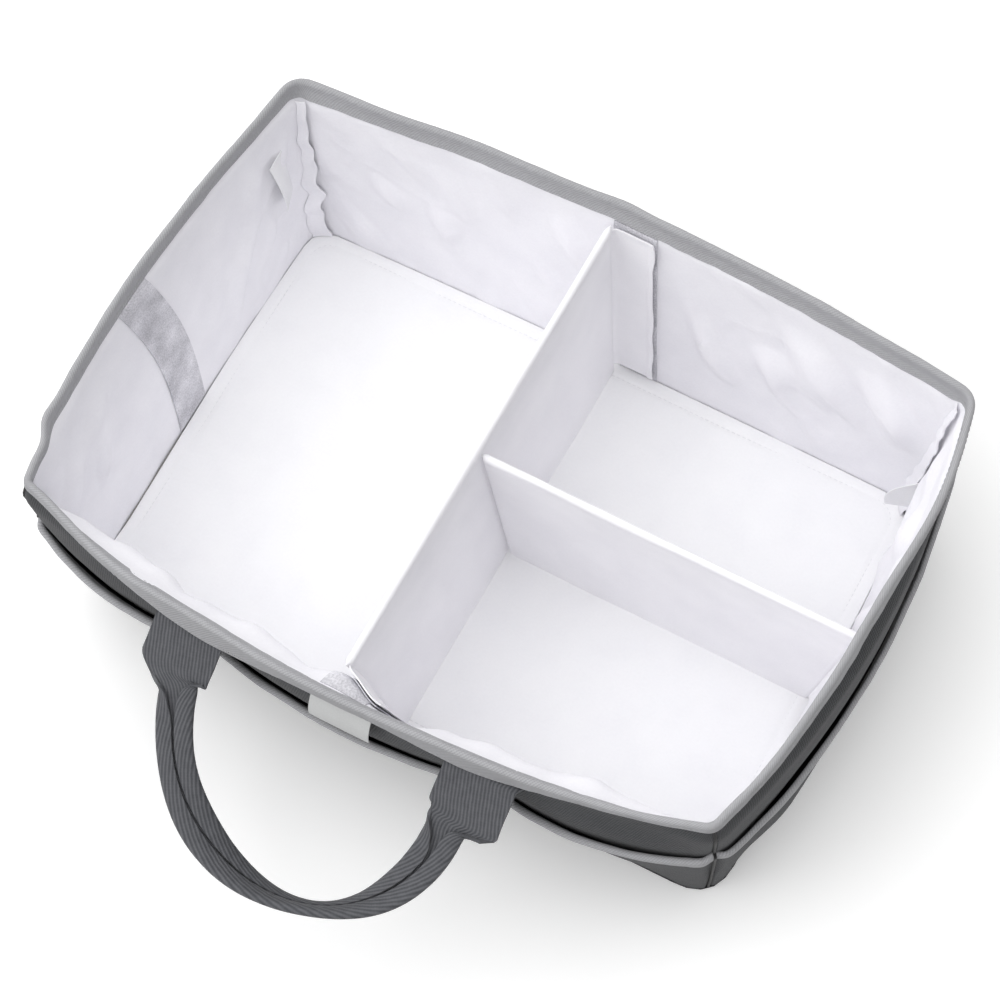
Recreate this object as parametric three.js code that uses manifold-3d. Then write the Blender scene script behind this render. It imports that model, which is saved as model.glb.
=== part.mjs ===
// A soft-sided diaper caddy: dark fabric walls over stiff boards, a white liner, a bound rim,
// pockets all round, two webbing handles and a removable T-shaped divider insert.
// Millimetres, +Z up, origin at the middle of the underside. The front wall faces -Y.

import * as THREE from 'three';
import loadManifold from 'manifold-3d';

// The box. Its rim is wider than its base, and its soft walls bow outwards at the rim.
const BASE_LENGTH = 377;
const BASE_WIDTH = 242;
const RIM_LENGTH_FLARE = 12; // how much longer the rim is than the base
const RIM_WIDTH_FLARE = 18;
const RIM_HEIGHT = 140;
const RIM_LEAN = 5; // how far the rim sits to the right of the base
const RIM_SKEW = 8; // how far the back rim sits to the right of the front rim
const RIM_TAPER = 6; // how much narrower the rim is at its right end
const BASE_CORNER_RADIUS = 20;
const RIM_CORNER_RADIUS = 13;
const BASE_BOW = 2;
const RIM_BOW = { front: 22, right: 19, back: 14, left: 12 };

// The layers of a wall, from the outside in, and of the floor, from below
const GAP = 0.3;
const OUTER_CLOTH = 1.0;
const WALL_BOARD = 2.0;
const LINER_CLOTH = 0.7;
const BASE_BOARD = 3.0;
const FLOOR_CLOTH = 1.0;

// Binding tape, folded over the rim and over the pockets' top edges
const BINDING_THICKNESS = 1.0;
const RIM_BINDING_LEG = 12;
const POCKET_BINDING_LEG = 11;

// Outer pockets, sewn down at the corner seams and, at front and back, under the handles
const POCKET_CLOTH = 1.0;
const POCKET_FOOT_GAP = 0.8;
const POCKET_DROP = 44; // from the rim down to the pockets' top corners
const POCKET_DIP = 9;
const POCKET_BULGE = { front: [12, 6, 8], right: [4], back: [7, 6, 7], left: [4] };

// Handles: webbing that folds over below the rim binding
const WEBBING_WIDTH = 38;
const WEBBING_THICKNESS = 1.6;
const HANDLE_SPACING = 161;
const HANDLE_REACH = 98;
const HANDLE_FLAT = 24;
const HANDLE_FOLD_LENGTH = 15;
const GRIP_SPAN = 150;
const GRIP_WIDTH = 18;
const GRIP_THICKNESS = 5;
const GRIP_SEAM_DEPTH = 1.2;
const HANDLE_FOLD_DROP = 1.5; // from the rim binding's lower edge down to the fold
const HANDLE_FOLD_CLEARANCE = 0.8;
const HANDLE_TAB_LENGTH = 45;
const FRONT_HANDLE_DROOP = 31; // degrees below level
const BACK_HANDLE_DROOP = 74;
const FRONT_HANDLE_SWAY = 17; // how far the grip hangs to the right of the handle's middle

// Divider insert: a cross divider and a half divider, held at three ends by flaps
const DIVIDER_X = 5.5;
const DIVIDER_LEAN = -7; // how far the cross divider's top stands from its foot
const HALF_DIVIDER_Y = -4.5;
const DIVIDER_THICKNESS = 4;
const DIVIDER_COVER = 0.7;
const CROSS_DIVIDER_DROP = 10; // from the rim down to the divider's top
const HALF_DIVIDER_DROP = 16;
const DIVIDER_FLOOR_GAP = 0.4;
const FLAP_WIDTH = 21;
const FLAP_THICKNESS = 1.2;
const FLAP_FLOOR_GAP = 5;
const FLAP_TOP_STEP = 2;
const END_FLAP_CLEARANCE = 1.5; // room for the half divider's end to swing past its tape

// Hook and loop tape
const TAPE_THICKNESS = 0.8;
const LOOP_TAPE_WIDTH = 25;
const HOOK_TAPE_MARGIN = 2;
const LEFT_LOOP_TAPE_Y = -13.5;

// Labels
const LABEL_THICKNESS = 0.6;
const FRONT_LABEL_WIDTH = 33;
const FRONT_LABEL_HEIGHT = 18;
const CARE_LABEL_WIDTH = 17;
const CARE_LABEL_HEIGHT = 40;
const CARE_LABEL_BOTTOM = 62;
const CARE_LABEL_CORNER_GAP = 1; // from where the corner's round begins

// How finely the curves are cut
const CORNER_STEPS = 3;
const LONG_WALL_END_STEPS = 5;
const LONG_WALL_MIDDLE_STEPS = 8;
const SHORT_WALL_STEPS = 12;
const WALL_LEVELS = 4;
const POCKET_LEVELS = 3;
const GRIP_STEPS = 26;
const PATCH_STEPS = 2;
const LOOP_TAPE_STEPS = 3;
const NOSE_STEPS = 3;

const SIDES = ['front', 'right', 'back', 'left'];
const { lerp, degToRad } = THREE.MathUtils;

const wasm = await loadManifold();
wasm.setup();

function cloth(color, roughness = 0.9) {
  return new THREE.MeshStandardMaterial({ color, roughness, metalness: 0 });
}

const shellCloth = cloth(0x56575a);
const bindingTape = cloth(0xa9a9ab);
const webbing = cloth(0x66676a, 0.8);
const linerCloth = cloth(0xe6e5ea);
const floorCloth = cloth(0xf4f4f6);
const dividerCloth = cloth(0xe5e4e8);
const stiffBoard = cloth(0xb9ab92, 0.8);
const loopTape = cloth(0xb6b5bd);
const hookTape = cloth(0xcfced4, 0.7);
const labelCloth = cloth(0xf1f1f1, 0.7);

const caddy = new THREE.Group();

function addPiece(parent, name, geometry, material) {
  const mesh = new THREE.Mesh(geometry, material);
  mesh.name = name;
  parent.add(mesh);
}

// The box's outline at a height: four straight chords, each bowed outwards

function chord(side, z) {
  const rise = z / RIM_HEIGHT;
  const halfLength = (BASE_LENGTH + RIM_LENGTH_FLARE * rise) / 2;
  const halfWidth = (BASE_WIDTH + RIM_WIDTH_FLARE * rise) / 2;
  const leftHalfWidth = halfWidth + (RIM_TAPER * rise) / 4;
  const rightHalfWidth = halfWidth - (RIM_TAPER * rise) / 4;
  const frontX = (RIM_LEAN - RIM_SKEW / 2) * rise;
  const backX = (RIM_LEAN + RIM_SKEW / 2) * rise;
  const corners = [
    new THREE.Vector2(frontX - halfLength, -leftHalfWidth),
    new THREE.Vector2(frontX + halfLength, -rightHalfWidth),
    new THREE.Vector2(backX + halfLength, rightHalfWidth),
    new THREE.Vector2(backX - halfLength, leftHalfWidth),
  ];
  const index = SIDES.indexOf(side);
  const start = corners[index];
  const end = corners[(index + 1) % corners.length];
  const length = start.distanceTo(end);
  const along = end.clone().sub(start).divideScalar(length);
  const outward = new THREE.Vector2(along.y, -along.x);
  const middle = start.clone().add(end).multiplyScalar(0.5);
  const bow = lerp(BASE_BOW, RIM_BOW[side], rise);
  return { middle, along, outward, length, bow };
}

function neighbour(side, step) {
  return SIDES[(SIDES.indexOf(side) + step + SIDES.length) % SIDES.length];
}

function cornerRadius(z) {
  return lerp(BASE_CORNER_RADIUS, RIM_CORNER_RADIUS, z / RIM_HEIGHT);
}

function bowed(line, distance) {
  const share = (2 * distance) / line.length;
  const point = line.middle.clone()
    .addScaledVector(line.along, distance)
    .addScaledVector(line.outward, line.bow * (1 - share * share));
  const slope = (-4 * line.bow * share) / line.length;
  const tangent = line.along.clone().addScaledVector(line.outward, slope).normalize();
  return { point, tangent };
}

function roundedCorner(before, after, radius, t) {
  const from = bowed(before, before.length / 2 - radius);
  const to = bowed(after, radius - after.length / 2);
  const across = to.point.clone().sub(from.point);
  const reach = across.cross(to.tangent) / from.tangent.cross(to.tangent);
  const control = from.point.clone().addScaledVector(from.tangent, reach);
  const curve = new THREE.QuadraticBezierCurve(from.point, control, to.point);
  return { point: curve.getPoint(t), tangent: curve.getTangent(t) };
}

function pushedOut({ point, tangent }, offset, z) {
  return new THREE.Vector3(point.x + tangent.y * offset, point.y - tangent.x * offset, z);
}

// A point by station: 0 to 1 along a side, and one unit more over half of each corner
function wallPoint(side, station, z, offset) {
  const line = chord(side, z);
  const radius = cornerRadius(z);
  if (station < 0) {
    const before = chord(neighbour(side, -1), z);
    return pushedOut(roundedCorner(before, line, radius, 1 + station / 2), offset, z);
  }
  if (station > 1) {
    const after = chord(neighbour(side, 1), z);
    return pushedOut(roundedCorner(line, after, radius, (station - 1) / 2), offset, z);
  }
  return pushedOut(bowed(line, (station - 0.5) * (line.length - 2 * radius)), offset, z);
}

// A point by its place along a side, measured beside the base from the part's own middle
function sidePoint(side, place, z, offset) {
  const line = chord(side, z);
  const straight = chord(side, 0).along;
  const distance = (place - line.middle.dot(straight)) / line.along.dot(straight);
  return pushedOut(bowed(line, distance), offset, z);
}

function steps(from, to, count) {
  return Array.from({ length: count + 1 }, (_, i) => lerp(from, to, i / count));
}

// Stations along a side, which fall on the seams under the handles at the front and back
function sideStations(side) {
  if (side === 'left' || side === 'right') {
    return steps(0, 1, SHORT_WALL_STEPS);
  }
  const run = chord(side, RIM_HEIGHT).length - 2 * RIM_CORNER_RADIUS;
  const seam = 0.5 - HANDLE_SPACING / 2 / run;
  return [
    ...steps(0, seam, LONG_WALL_END_STEPS),
    ...steps(seam, 1 - seam, LONG_WALL_MIDDLE_STEPS).slice(1, -1),
    ...steps(1 - seam, 1, LONG_WALL_END_STEPS),
  ];
}

// Stations of a whole wall from corner seam to corner seam, where a small gap parts the cloth
function wallStations(side) {
  const seam = GAP / RIM_CORNER_RADIUS;
  return [
    ...steps(seam - 1, 0, CORNER_STEPS).slice(0, -1),
    ...sideStations(side),
    ...steps(1, 2 - seam, CORNER_STEPS).slice(1),
  ];
}

// One closed solid skinned through sections. A section is two rails of points, face to face.
// Every face is split along its rising diagonal, so that layers of a twisted wall stay parallel.
function skin(sections, looped = false) {
  const rail = sections[0][0].length;
  const ringSize = 2 * rail;
  const points = sections.flatMap(([first, second]) => [...first, ...[...second].reverse()]);
  const index = [];
  const quad = (a, b, c, d) => index.push(a, b, c, a, c, d);
  const spans = looped ? sections.length : sections.length - 1;
  for (let i = 0; i < spans; i += 1) {
    const here = i * ringSize;
    const there = ((i + 1) % sections.length) * ringSize;
    for (let k = 0; k < ringSize; k += 1) {
      const next = (k + 1) % ringSize;
      const rising = points[here + k].z <= points[here + next].z;
      if (rising) {
        quad(here + k, there + k, there + next, here + next);
      } else {
        quad(here + next, here + k, there + k, there + next);
      }
    }
  }
  if (!looped) {
    const last = (sections.length - 1) * ringSize;
    for (let k = 0; k < rail - 1; k += 1) {
      const opposite = ringSize - 1 - k;
      quad(k, k + 1, opposite - 1, opposite);
      quad(last + opposite, last + opposite - 1, last + k + 1, last + k);
    }
  }
  const geometry = new THREE.BufferGeometry().setFromPoints(points);
  geometry.setIndex(signedVolume(points, index) < 0 ? index.reverse() : index);
  geometry.computeVertexNormals();
  return geometry;
}

function signedVolume(points, index) {
  let volume = 0;
  for (let i = 0; i < index.length; i += 3) {
    const [a, b, c] = [points[index[i]], points[index[i + 1]], points[index[i + 2]]];
    volume += a.dot(b.clone().cross(c));
  }
  return volume;
}

function solidFrom(geometry) {
  const vertProperties = Float32Array.from(geometry.getAttribute('position').array);
  const triVerts = Uint32Array.from(geometry.getIndex().array);
  return new wasm.Manifold(new wasm.Mesh({ numProp: 3, vertProperties, triVerts }));
}

function cutAway(body, cavity) {
  const { vertProperties, triVerts } = solidFrom(body).subtract(solidFrom(cavity)).getMesh();
  const geometry = new THREE.BufferGeometry();
  geometry.setAttribute('position', new THREE.BufferAttribute(vertProperties, 3));
  geometry.setIndex(new THREE.BufferAttribute(triVerts, 1));
  geometry.computeVertexNormals();
  return geometry;
}

// A sheet of one thickness on a wall, whose faces lie at two offsets
function wallSheet(side, stations, levels, outside, inside) {
  return skin(stations.map((station) => [
    levels.map((z) => wallPoint(side, station, z, outside)),
    levels.map((z) => wallPoint(side, station, z, inside)),
  ]));
}

// A small sheet on a wall between places along it, which may drift sideways with height
function patch(side, places, levels, outside, inside, drift = () => 0) {
  return skin(places.map((place) => [
    levels.map((z) => sidePoint(side, place + drift(z), z, outside)),
    levels.map((z) => sidePoint(side, place + drift(z), z, inside)),
  ]));
}

// Offsets of the wall's layers from its outer face, which is at zero
const outerInside = -OUTER_CLOTH;
const boardOutside = outerInside - GAP;
const boardInside = boardOutside - WALL_BOARD;
const linerOutside = boardInside - GAP;
const linerInside = linerOutside - LINER_CLOTH;
const wallBottom = OUTER_CLOTH + GAP;
const wallTop = RIM_HEIGHT - BINDING_THICKNESS - GAP;
const boardTop = wallTop - RIM_BINDING_LEG;
const baseBoardTop = wallBottom + BASE_BOARD;
const floorBottom = baseBoardTop + GAP;
const floorTop = floorBottom + FLOOR_CLOTH;

// Walls: outer cloth, stiff board and liner on each side

const boardLevels = steps(wallBottom, boardTop, WALL_LEVELS);
const panelLevels = [...boardLevels, wallTop];
for (const side of SIDES) {
  const panel = wallSheet(side, wallStations(side), panelLevels, 0, outerInside);
  addPiece(caddy, `outer_${side}_panel`, panel, shellCloth);

  const board = wallSheet(side, sideStations(side), boardLevels, boardOutside, boardInside);
  addPiece(caddy, `${side}_wall_board`, board, stiffBoard);

  const liner = wallSheet(side, wallStations(side), panelLevels, linerOutside, linerInside);
  addPiece(caddy, `${side}_liner`, liner, linerCloth);
}

// Base: outer cloth under the walls, and a board and a floor cloth inside the liner

function floorPlate(z, offset, thickness) {
  const outline = SIDES.flatMap((side) => wallStations(side)
    .map((station) => wallPoint(side, station, z, offset)));
  const shape = new THREE.Shape(outline.map(({ x, y }) => new THREE.Vector2(x, y)));
  const plate = new THREE.ExtrudeGeometry(shape, { depth: thickness, bevelEnabled: false });
  return plate.translate(0, 0, z);
}

const floorOffset = linerInside - GAP;
addPiece(caddy, 'outer_base_panel', floorPlate(0, 0, OUTER_CLOTH), shellCloth);
addPiece(caddy, 'base_board', floorPlate(wallBottom, floorOffset, BASE_BOARD), stiffBoard);
addPiece(caddy, 'floor_liner', floorPlate(floorBottom, floorOffset, FLOOR_CLOTH), floorCloth);

// Binding: tape folded over an edge, given by the offsets of the edge's two faces at a level

function foldedTape(place, leg, top, faces) {
  const bottom = top - BINDING_THICKNESS - GAP - leg;
  const fold = top - BINDING_THICKNESS;
  const high = faces(fold);
  const low = faces(bottom);
  const far = GAP + BINDING_THICKNESS;
  return [
    [place(bottom, low.outside + far), place(top, high.outside + far),
      place(top, high.inside - far), place(bottom, low.inside - far)],
    [place(bottom, low.outside + GAP), place(fold, high.outside + GAP),
      place(fold, high.inside - GAP), place(bottom, low.inside - GAP)],
  ];
}

const rimSections = SIDES.flatMap((side) => wallStations(side).map((station) => foldedTape(
  (z, offset) => wallPoint(side, station, z, offset),
  RIM_BINDING_LEG,
  RIM_HEIGHT,
  () => ({ outside: 0, inside: linerInside }),
)));
addPiece(caddy, 'rim_binding', skin(rimSections, true), bindingTape);
const rimBindingBottom = wallTop - RIM_BINDING_LEG;

// Pockets: cloth that stands off the wall between its seams, with tape over its top edge

const tapeRoom = 2 * GAP + BINDING_THICKNESS;
const tabRoom = GAP + WEBBING_THICKNESS + tapeRoom;

function stationDistance(side, station) {
  const run = chord(side, RIM_HEIGHT).length - 2 * RIM_CORNER_RADIUS;
  const outside = Math.max(-station, station - 1, 0) * RIM_CORNER_RADIUS;
  const inside = (THREE.MathUtils.clamp(station, 0, 1) - 0.5) * run;
  return inside + Math.sign(inside) * outside;
}

function pocketSeams(side) {
  const end = chord(side, RIM_HEIGHT).length / 2;
  const corners = [{ at: -end, room: tapeRoom }, { at: end, room: tapeRoom }];
  if (side === 'left' || side === 'right') {
    return corners;
  }
  const underHandle = HANDLE_SPACING / 2;
  const handles = [{ at: -underHandle, room: tabRoom }, { at: underHandle, room: tabRoom }];
  return [corners[0], ...handles, corners[1]];
}

function pocketStandOff(side, distance) {
  const seams = pocketSeams(side);
  const last = seams.findIndex((seam, i) => i > 0 && distance <= seam.at);
  const [from, to] = [seams[last - 1], seams[last]];
  const share = (distance - from.at) / (to.at - from.at);
  const bulge = POCKET_BULGE[side][last - 1] * 4 * share * (1 - share);
  return lerp(from.room, to.room, share) + bulge;
}

function pocketTop(side, distance) {
  const share = (2 * distance) / chord(side, RIM_HEIGHT).length;
  return RIM_HEIGHT - POCKET_DROP - BINDING_THICKNESS - GAP - POCKET_DIP * (1 - share * share);
}

// The pocket cloth's two faces: on the wall at its foot, and at its full stand-off at its top
function pocketFaces(side, distance, z) {
  const rise = (z - wallBottom) / (pocketTop(side, distance) - wallBottom);
  const swell = Math.sin(Math.min(rise, 1) * Math.PI / 2);
  const inside = lerp(POCKET_FOOT_GAP, pocketStandOff(side, distance), swell);
  return { inside, outside: inside + POCKET_CLOTH };
}

for (const side of SIDES) {
  const stations = wallStations(side);
  const clothSections = [];
  const tapeSections = [];
  for (const station of stations) {
    const distance = stationDistance(side, station);
    const top = pocketTop(side, distance);
    const underTape = top - POCKET_BINDING_LEG;
    const levels = [...steps(wallBottom, underTape, POCKET_LEVELS), top];
    const place = (z, offset) => wallPoint(side, station, z, offset);
    const faces = (z) => pocketFaces(side, distance, z);
    clothSections.push([
      levels.map((z) => place(z, faces(z).outside)),
      levels.map((z) => place(z, faces(z).inside)),
    ]);
    const tapeTop = top + GAP + BINDING_THICKNESS;
    tapeSections.push(foldedTape(place, POCKET_BINDING_LEG, tapeTop, faces));
  }
  addPiece(caddy, `${side}_pocket`, skin(clothSections), shellCloth);
  addPiece(caddy, `${side}_pocket_binding`, skin(tapeSections), bindingTape);
}

// Handles: fixed tabs on the wall, and a loop that swings at the fold above them

const foldZ = rimBindingBottom - HANDLE_FOLD_DROP;
const tabOutside = GAP + WEBBING_THICKNESS;

function handleMiddle(side) {
  return chord(side, foldZ).middle.dot(chord(side, 0).along);
}

for (const side of ['front', 'back']) {
  for (const end of ['left', 'right']) {
    const towardsEnd = (end === 'right') === (side === 'front') ? 1 : -1;
    const middle = handleMiddle(side) + towardsEnd * HANDLE_SPACING / 2;
    const places = steps(middle - WEBBING_WIDTH / 2, middle + WEBBING_WIDTH / 2, PATCH_STEPS);
    const levels = steps(foldZ - HANDLE_TAB_LENGTH, foldZ, PATCH_STEPS);
    const tab = patch(side, places, levels, tabOutside, GAP);
    addPiece(caddy, `${side}_${end}_handle_tab`, tab, webbing);
  }
}

// The grip's middle line, half an ellipse whose points crowd together towards its ends
function gripLine(sway) {
  return steps(0, 1, GRIP_STEPS).map((step) => {
    const angle = Math.PI * (1 + Math.cos(Math.PI * step)) / 2;
    const rise = Math.sin(angle);
    const out = HANDLE_FLAT + (HANDLE_REACH - HANDLE_FLAT) * rise;
    return new THREE.Vector2((GRIP_SPAN / 2) * Math.cos(angle) + sway * rise, -out);
  });
}

// Webbing that is flat at fold 0, and doubled over into two lips with a seam between at fold 1
function webbingSection(centre, acrossDirection, fold) {
  const half = lerp(WEBBING_WIDTH, GRIP_WIDTH, fold) / 2;
  const thickness = lerp(WEBBING_THICKNESS, GRIP_THICKNESS, fold);
  const round = lerp(WEBBING_THICKNESS / 4, GRIP_THICKNESS / 3, fold);
  const seam = GRIP_SEAM_DEPTH * fold;
  const bottom = -WEBBING_THICKNESS / 2;
  const top = bottom + thickness;
  const place = (across, z) => new THREE.Vector3(
    centre.x + acrossDirection.x * across,
    centre.y + acrossDirection.y * across,
    z,
  );
  return [
    [place(-half, bottom + round), place(-half + round, bottom), place(0, bottom),
      place(half - round, bottom), place(half, bottom + round)],
    [place(-half, top - round), place(-half + round, top), place(0, top - seam),
      place(half - round, top), place(half, top - round)],
  ];
}

function handleLoop(sway) {
  const line = gripLine(sway);
  const flatEnd = (x, y, towards) => webbingSection(
    new THREE.Vector2(x, y),
    new THREE.Vector2(towards, 0),
    0,
  );
  const half = HANDLE_SPACING / 2;
  const sections = [flatEnd(-half, 0, 1), flatEnd(-half, -HANDLE_FLAT, 1)];
  for (let i = 1; i < GRIP_STEPS; i += 1) {
    const along = line[i + 1].clone().sub(line[i - 1]).normalize();
    const fromEnd = Math.min(line[i].distanceTo(line[0]), line[i].distanceTo(line[GRIP_STEPS]));
    const fold = THREE.MathUtils.smoothstep(fromEnd, 0, HANDLE_FOLD_LENGTH);
    const centre = line[i].clone();
    centre.x += Math.sign(centre.x) * (1 - fold) * (half - GRIP_SPAN / 2);
    const across = new THREE.Vector2(-along.y, along.x);
    const end = new THREE.Vector2(-Math.sign(line[i].x), 0);
    sections.push(webbingSection(centre, end.lerp(across, fold).normalize(), fold));
  }
  sections.push(flatEnd(half, -HANDLE_FLAT, -1), flatEnd(half, 0, -1));
  return skin(sections);
}

// The swinging fold stands just clear of the wall at the webbing's inner edge
const foldOffset = tabOutside + WEBBING_THICKNESS / 2 + HANDLE_FOLD_CLEARANCE;
for (const [side, droop, sway] of [
  ['front', FRONT_HANDLE_DROOP, FRONT_HANDLE_SWAY],
  ['back', BACK_HANDLE_DROOP, 0],
]) {
  const middle = chord(side, foldZ).middle;
  const reach = (HANDLE_SPACING - WEBBING_WIDTH) / 2;
  const innerEdge = sidePoint(side, handleMiddle(side) + reach, foldZ, foldOffset);
  const swing = new THREE.Group();
  swing.rotation.order = 'ZYX';
  swing.rotation.set(degToRad(droop), 0, side === 'front' ? 0 : Math.PI);
  swing.position.set(middle.x, innerEdge.y, foldZ);
  addPiece(swing, `${side}_handle`, handleLoop(sway), webbing);
  caddy.add(swing);
}

// Loop tapes on the liner, and hook tapes and flaps of the insert that lie on them

const loopOutside = linerInside - GAP;
const loopInside = loopOutside - TAPE_THICKNESS;
const loopLevels = steps(floorTop + GAP, rimBindingBottom - GAP, LOOP_TAPE_STEPS);
const flapStart = (DIVIDER_THICKNESS + FLAP_THICKNESS) / 2 + GAP;
const tapeMiddle = flapStart + FLAP_WIDTH / 2;
const crossDividerTop = RIM_HEIGHT - CROSS_DIVIDER_DROP;
const halfDividerTop = RIM_HEIGHT - HALF_DIVIDER_DROP;

// Places along the walls, which run to the right at the front and to the left at the back
const tapePlaces = {
  front: DIVIDER_X + tapeMiddle,
  right: HALF_DIVIDER_Y - tapeMiddle,
  back: -(DIVIDER_X + tapeMiddle),
  left: -LEFT_LOOP_TAPE_Y,
};

// The cross divider leans, and its flaps and their tapes with it
function dividerDrift(z) {
  return (DIVIDER_LEAN * (z - floorTop)) / (crossDividerTop - floorTop);
}

const drifts = { front: dividerDrift, right: () => 0, back: (z) => -dividerDrift(z), left: () => 0 };

for (const side of SIDES) {
  const edges = steps(-LOOP_TAPE_WIDTH / 2, LOOP_TAPE_WIDTH / 2, PATCH_STEPS);
  const places = edges.map((edge) => tapePlaces[side] + edge);
  const tape = patch(side, places, loopLevels, loopOutside, loopInside, drifts[side]);
  addPiece(caddy, `${side}_loop_tape`, tape, loopTape);
}

function addFlap(name, side, top, clearance) {
  const flapFoot = floorTop + FLAP_FLOOR_GAP;
  const flapTop = top - FLAP_TOP_STEP;
  const flapLevels = steps(flapFoot, flapTop, PATCH_STEPS);
  const hookLevels = steps(flapFoot + HOOK_TAPE_MARGIN, flapTop - HOOK_TAPE_MARGIN, PATCH_STEPS);
  const hookOutside = loopInside - clearance;
  const hookInside = hookOutside - TAPE_THICKNESS;
  const flapOutside = hookInside - GAP;
  const flapInside = flapOutside - FLAP_THICKNESS;
  const spread = (half) => steps(tapePlaces[side] - half, tapePlaces[side] + half, PATCH_STEPS);
  const flapPlaces = spread(FLAP_WIDTH / 2);
  const hookPlaces = spread(FLAP_WIDTH / 2 - HOOK_TAPE_MARGIN);
  const drift = drifts[side];
  const flap = patch(side, flapPlaces, flapLevels, flapOutside, flapInside, drift);
  addPiece(caddy, `${name}_flap`, flap, dividerCloth);
  const hook = patch(side, hookPlaces, hookLevels, hookOutside, hookInside, drift);
  addPiece(caddy, `${name}_hook_tape`, hook, hookTape);
  return flapInside - GAP;
}

const backEnd = addFlap('back', 'back', crossDividerTop, GAP);
const frontEnd = addFlap('front', 'front', crossDividerTop, GAP);
const rightEnd = addFlap('end', 'right', halfDividerTop, END_FLAP_CLEARANCE);

// Dividers: a cover open along its foot, over a board. Their ends lean with the walls.

const dividerBottom = floorTop + DIVIDER_FLOOR_GAP;

// A slab between two ends that are functions of height, across a thickness at each station
function slab(bottom, top, place, stations) {
  return skin(stations.map(({ at, half }) => [
    [place(at, -half, bottom), place(at, -half, top)],
    [place(at, half, bottom), place(at, half, top)],
  ]));
}

function crossSlab(bottom, top, half, inset) {
  const place = (at, across, z) => {
    const x = DIVIDER_X + dividerDrift(z);
    const front = sidePoint('front', x, z, frontEnd).y + inset;
    const back = sidePoint('back', -x, z, backEnd).y - inset;
    return new THREE.Vector3(x + across, lerp(front, back, at), z);
  };
  return slab(bottom, top, place, [{ at: 0, half }, { at: 1, half }]);
}

// The half divider's rounded end leans beside the cross divider
const halfStart = DIVIDER_X + DIVIDER_THICKNESS / 2 + GAP;

function halfSlab(bottom, top, startInset, stations, inset) {
  const place = (at, across, z) => {
    const start = halfStart + dividerDrift(z) + startInset;
    const end = sidePoint('right', HALF_DIVIDER_Y, z, rightEnd).x - inset;
    return new THREE.Vector3(lerp(start, end, at), HALF_DIVIDER_Y + across, z);
  };
  return slab(bottom, top, place, stations);
}

// Stations of a slab whose start is rounded to half its thickness
function roundedStations(half) {
  const length = BASE_LENGTH / 2;
  const nose = steps(Math.PI / 12, Math.PI / 2, NOSE_STEPS)
    .map((turn) => ({ at: (half * (1 - Math.cos(turn))) / length, half: half * Math.sin(turn) }));
  return [...nose, { at: 1, half }];
}

const plainStations = (half) => [{ at: 0, half }, { at: 1, half }];
const coverHalf = DIVIDER_THICKNESS / 2;
const cavityHalf = coverHalf - DIVIDER_COVER;
const coreHalf = cavityHalf - GAP;
const cavityFoot = dividerBottom - DIVIDER_COVER;
const coreInset = DIVIDER_COVER + GAP;

const crossCover = crossSlab(dividerBottom, crossDividerTop, coverHalf, 0);
const crossCavity = crossSlab(cavityFoot, crossDividerTop - DIVIDER_COVER, cavityHalf, DIVIDER_COVER);
addPiece(caddy, 'cross_divider_cover', cutAway(crossCover, crossCavity), dividerCloth);
const crossCore = crossSlab(dividerBottom, crossDividerTop - coreInset, coreHalf, coreInset);
addPiece(caddy, 'cross_divider_board', crossCore, stiffBoard);

const halfCover = halfSlab(dividerBottom, halfDividerTop, 0, roundedStations(coverHalf), 0);
const halfCavity = halfSlab(
  cavityFoot,
  halfDividerTop - DIVIDER_COVER,
  coverHalf,
  plainStations(cavityHalf),
  DIVIDER_COVER,
);
addPiece(caddy, 'half_divider_cover', cutAway(halfCover, halfCavity), dividerCloth);
const halfCore = halfSlab(
  dividerBottom,
  halfDividerTop - coreInset,
  coverHalf + GAP,
  plainStations(coreHalf),
  coreInset,
);
addPiece(caddy, 'half_divider_board', halfCore, stiffBoard);

// Labels: a woven one below the front rim, and two care labels by the back corners

const labelHalf = FRONT_LABEL_WIDTH / 2;
const labelEdges = steps(DIVIDER_X - labelHalf, DIVIDER_X + labelHalf, PATCH_STEPS);
const labelTop = rimBindingBottom - GAP;
const labelLevels = [labelTop - FRONT_LABEL_HEIGHT, labelTop];
const labelPatch = patch('front', labelEdges, labelLevels, GAP + LABEL_THICKNESS, GAP);
addPiece(caddy, 'front_label', labelPatch, labelCloth);

const careLevels = steps(CARE_LABEL_BOTTOM, CARE_LABEL_BOTTOM + CARE_LABEL_HEIGHT, PATCH_STEPS);
const careOutside = linerInside - GAP;
for (const [side, towardsBack] of [['left', -1], ['right', 1]]) {
  const cornerStart = BASE_WIDTH / 2 - BASE_CORNER_RADIUS;
  const near = towardsBack * (cornerStart - CARE_LABEL_CORNER_GAP);
  const edges = steps(near - towardsBack * CARE_LABEL_WIDTH, near, 1);
  const label = patch(side, edges, careLevels, careOutside, careOutside - LABEL_THICKNESS);
  addPiece(caddy, `${side}_care_label`, label, labelCloth);
}

export default caddy;
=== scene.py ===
# %% [markdown]
# # A diaper caddy, sewn piece by piece
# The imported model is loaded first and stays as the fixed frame. Every soft solid in it is then replaced
# by cloth that is cut, laid on the same walls and given its thickness, so that nothing has to be fitted.

# %% Load the frame
import math
from functools import lru_cache

import bpy
from mathutils import Matrix, Vector, noise


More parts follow.
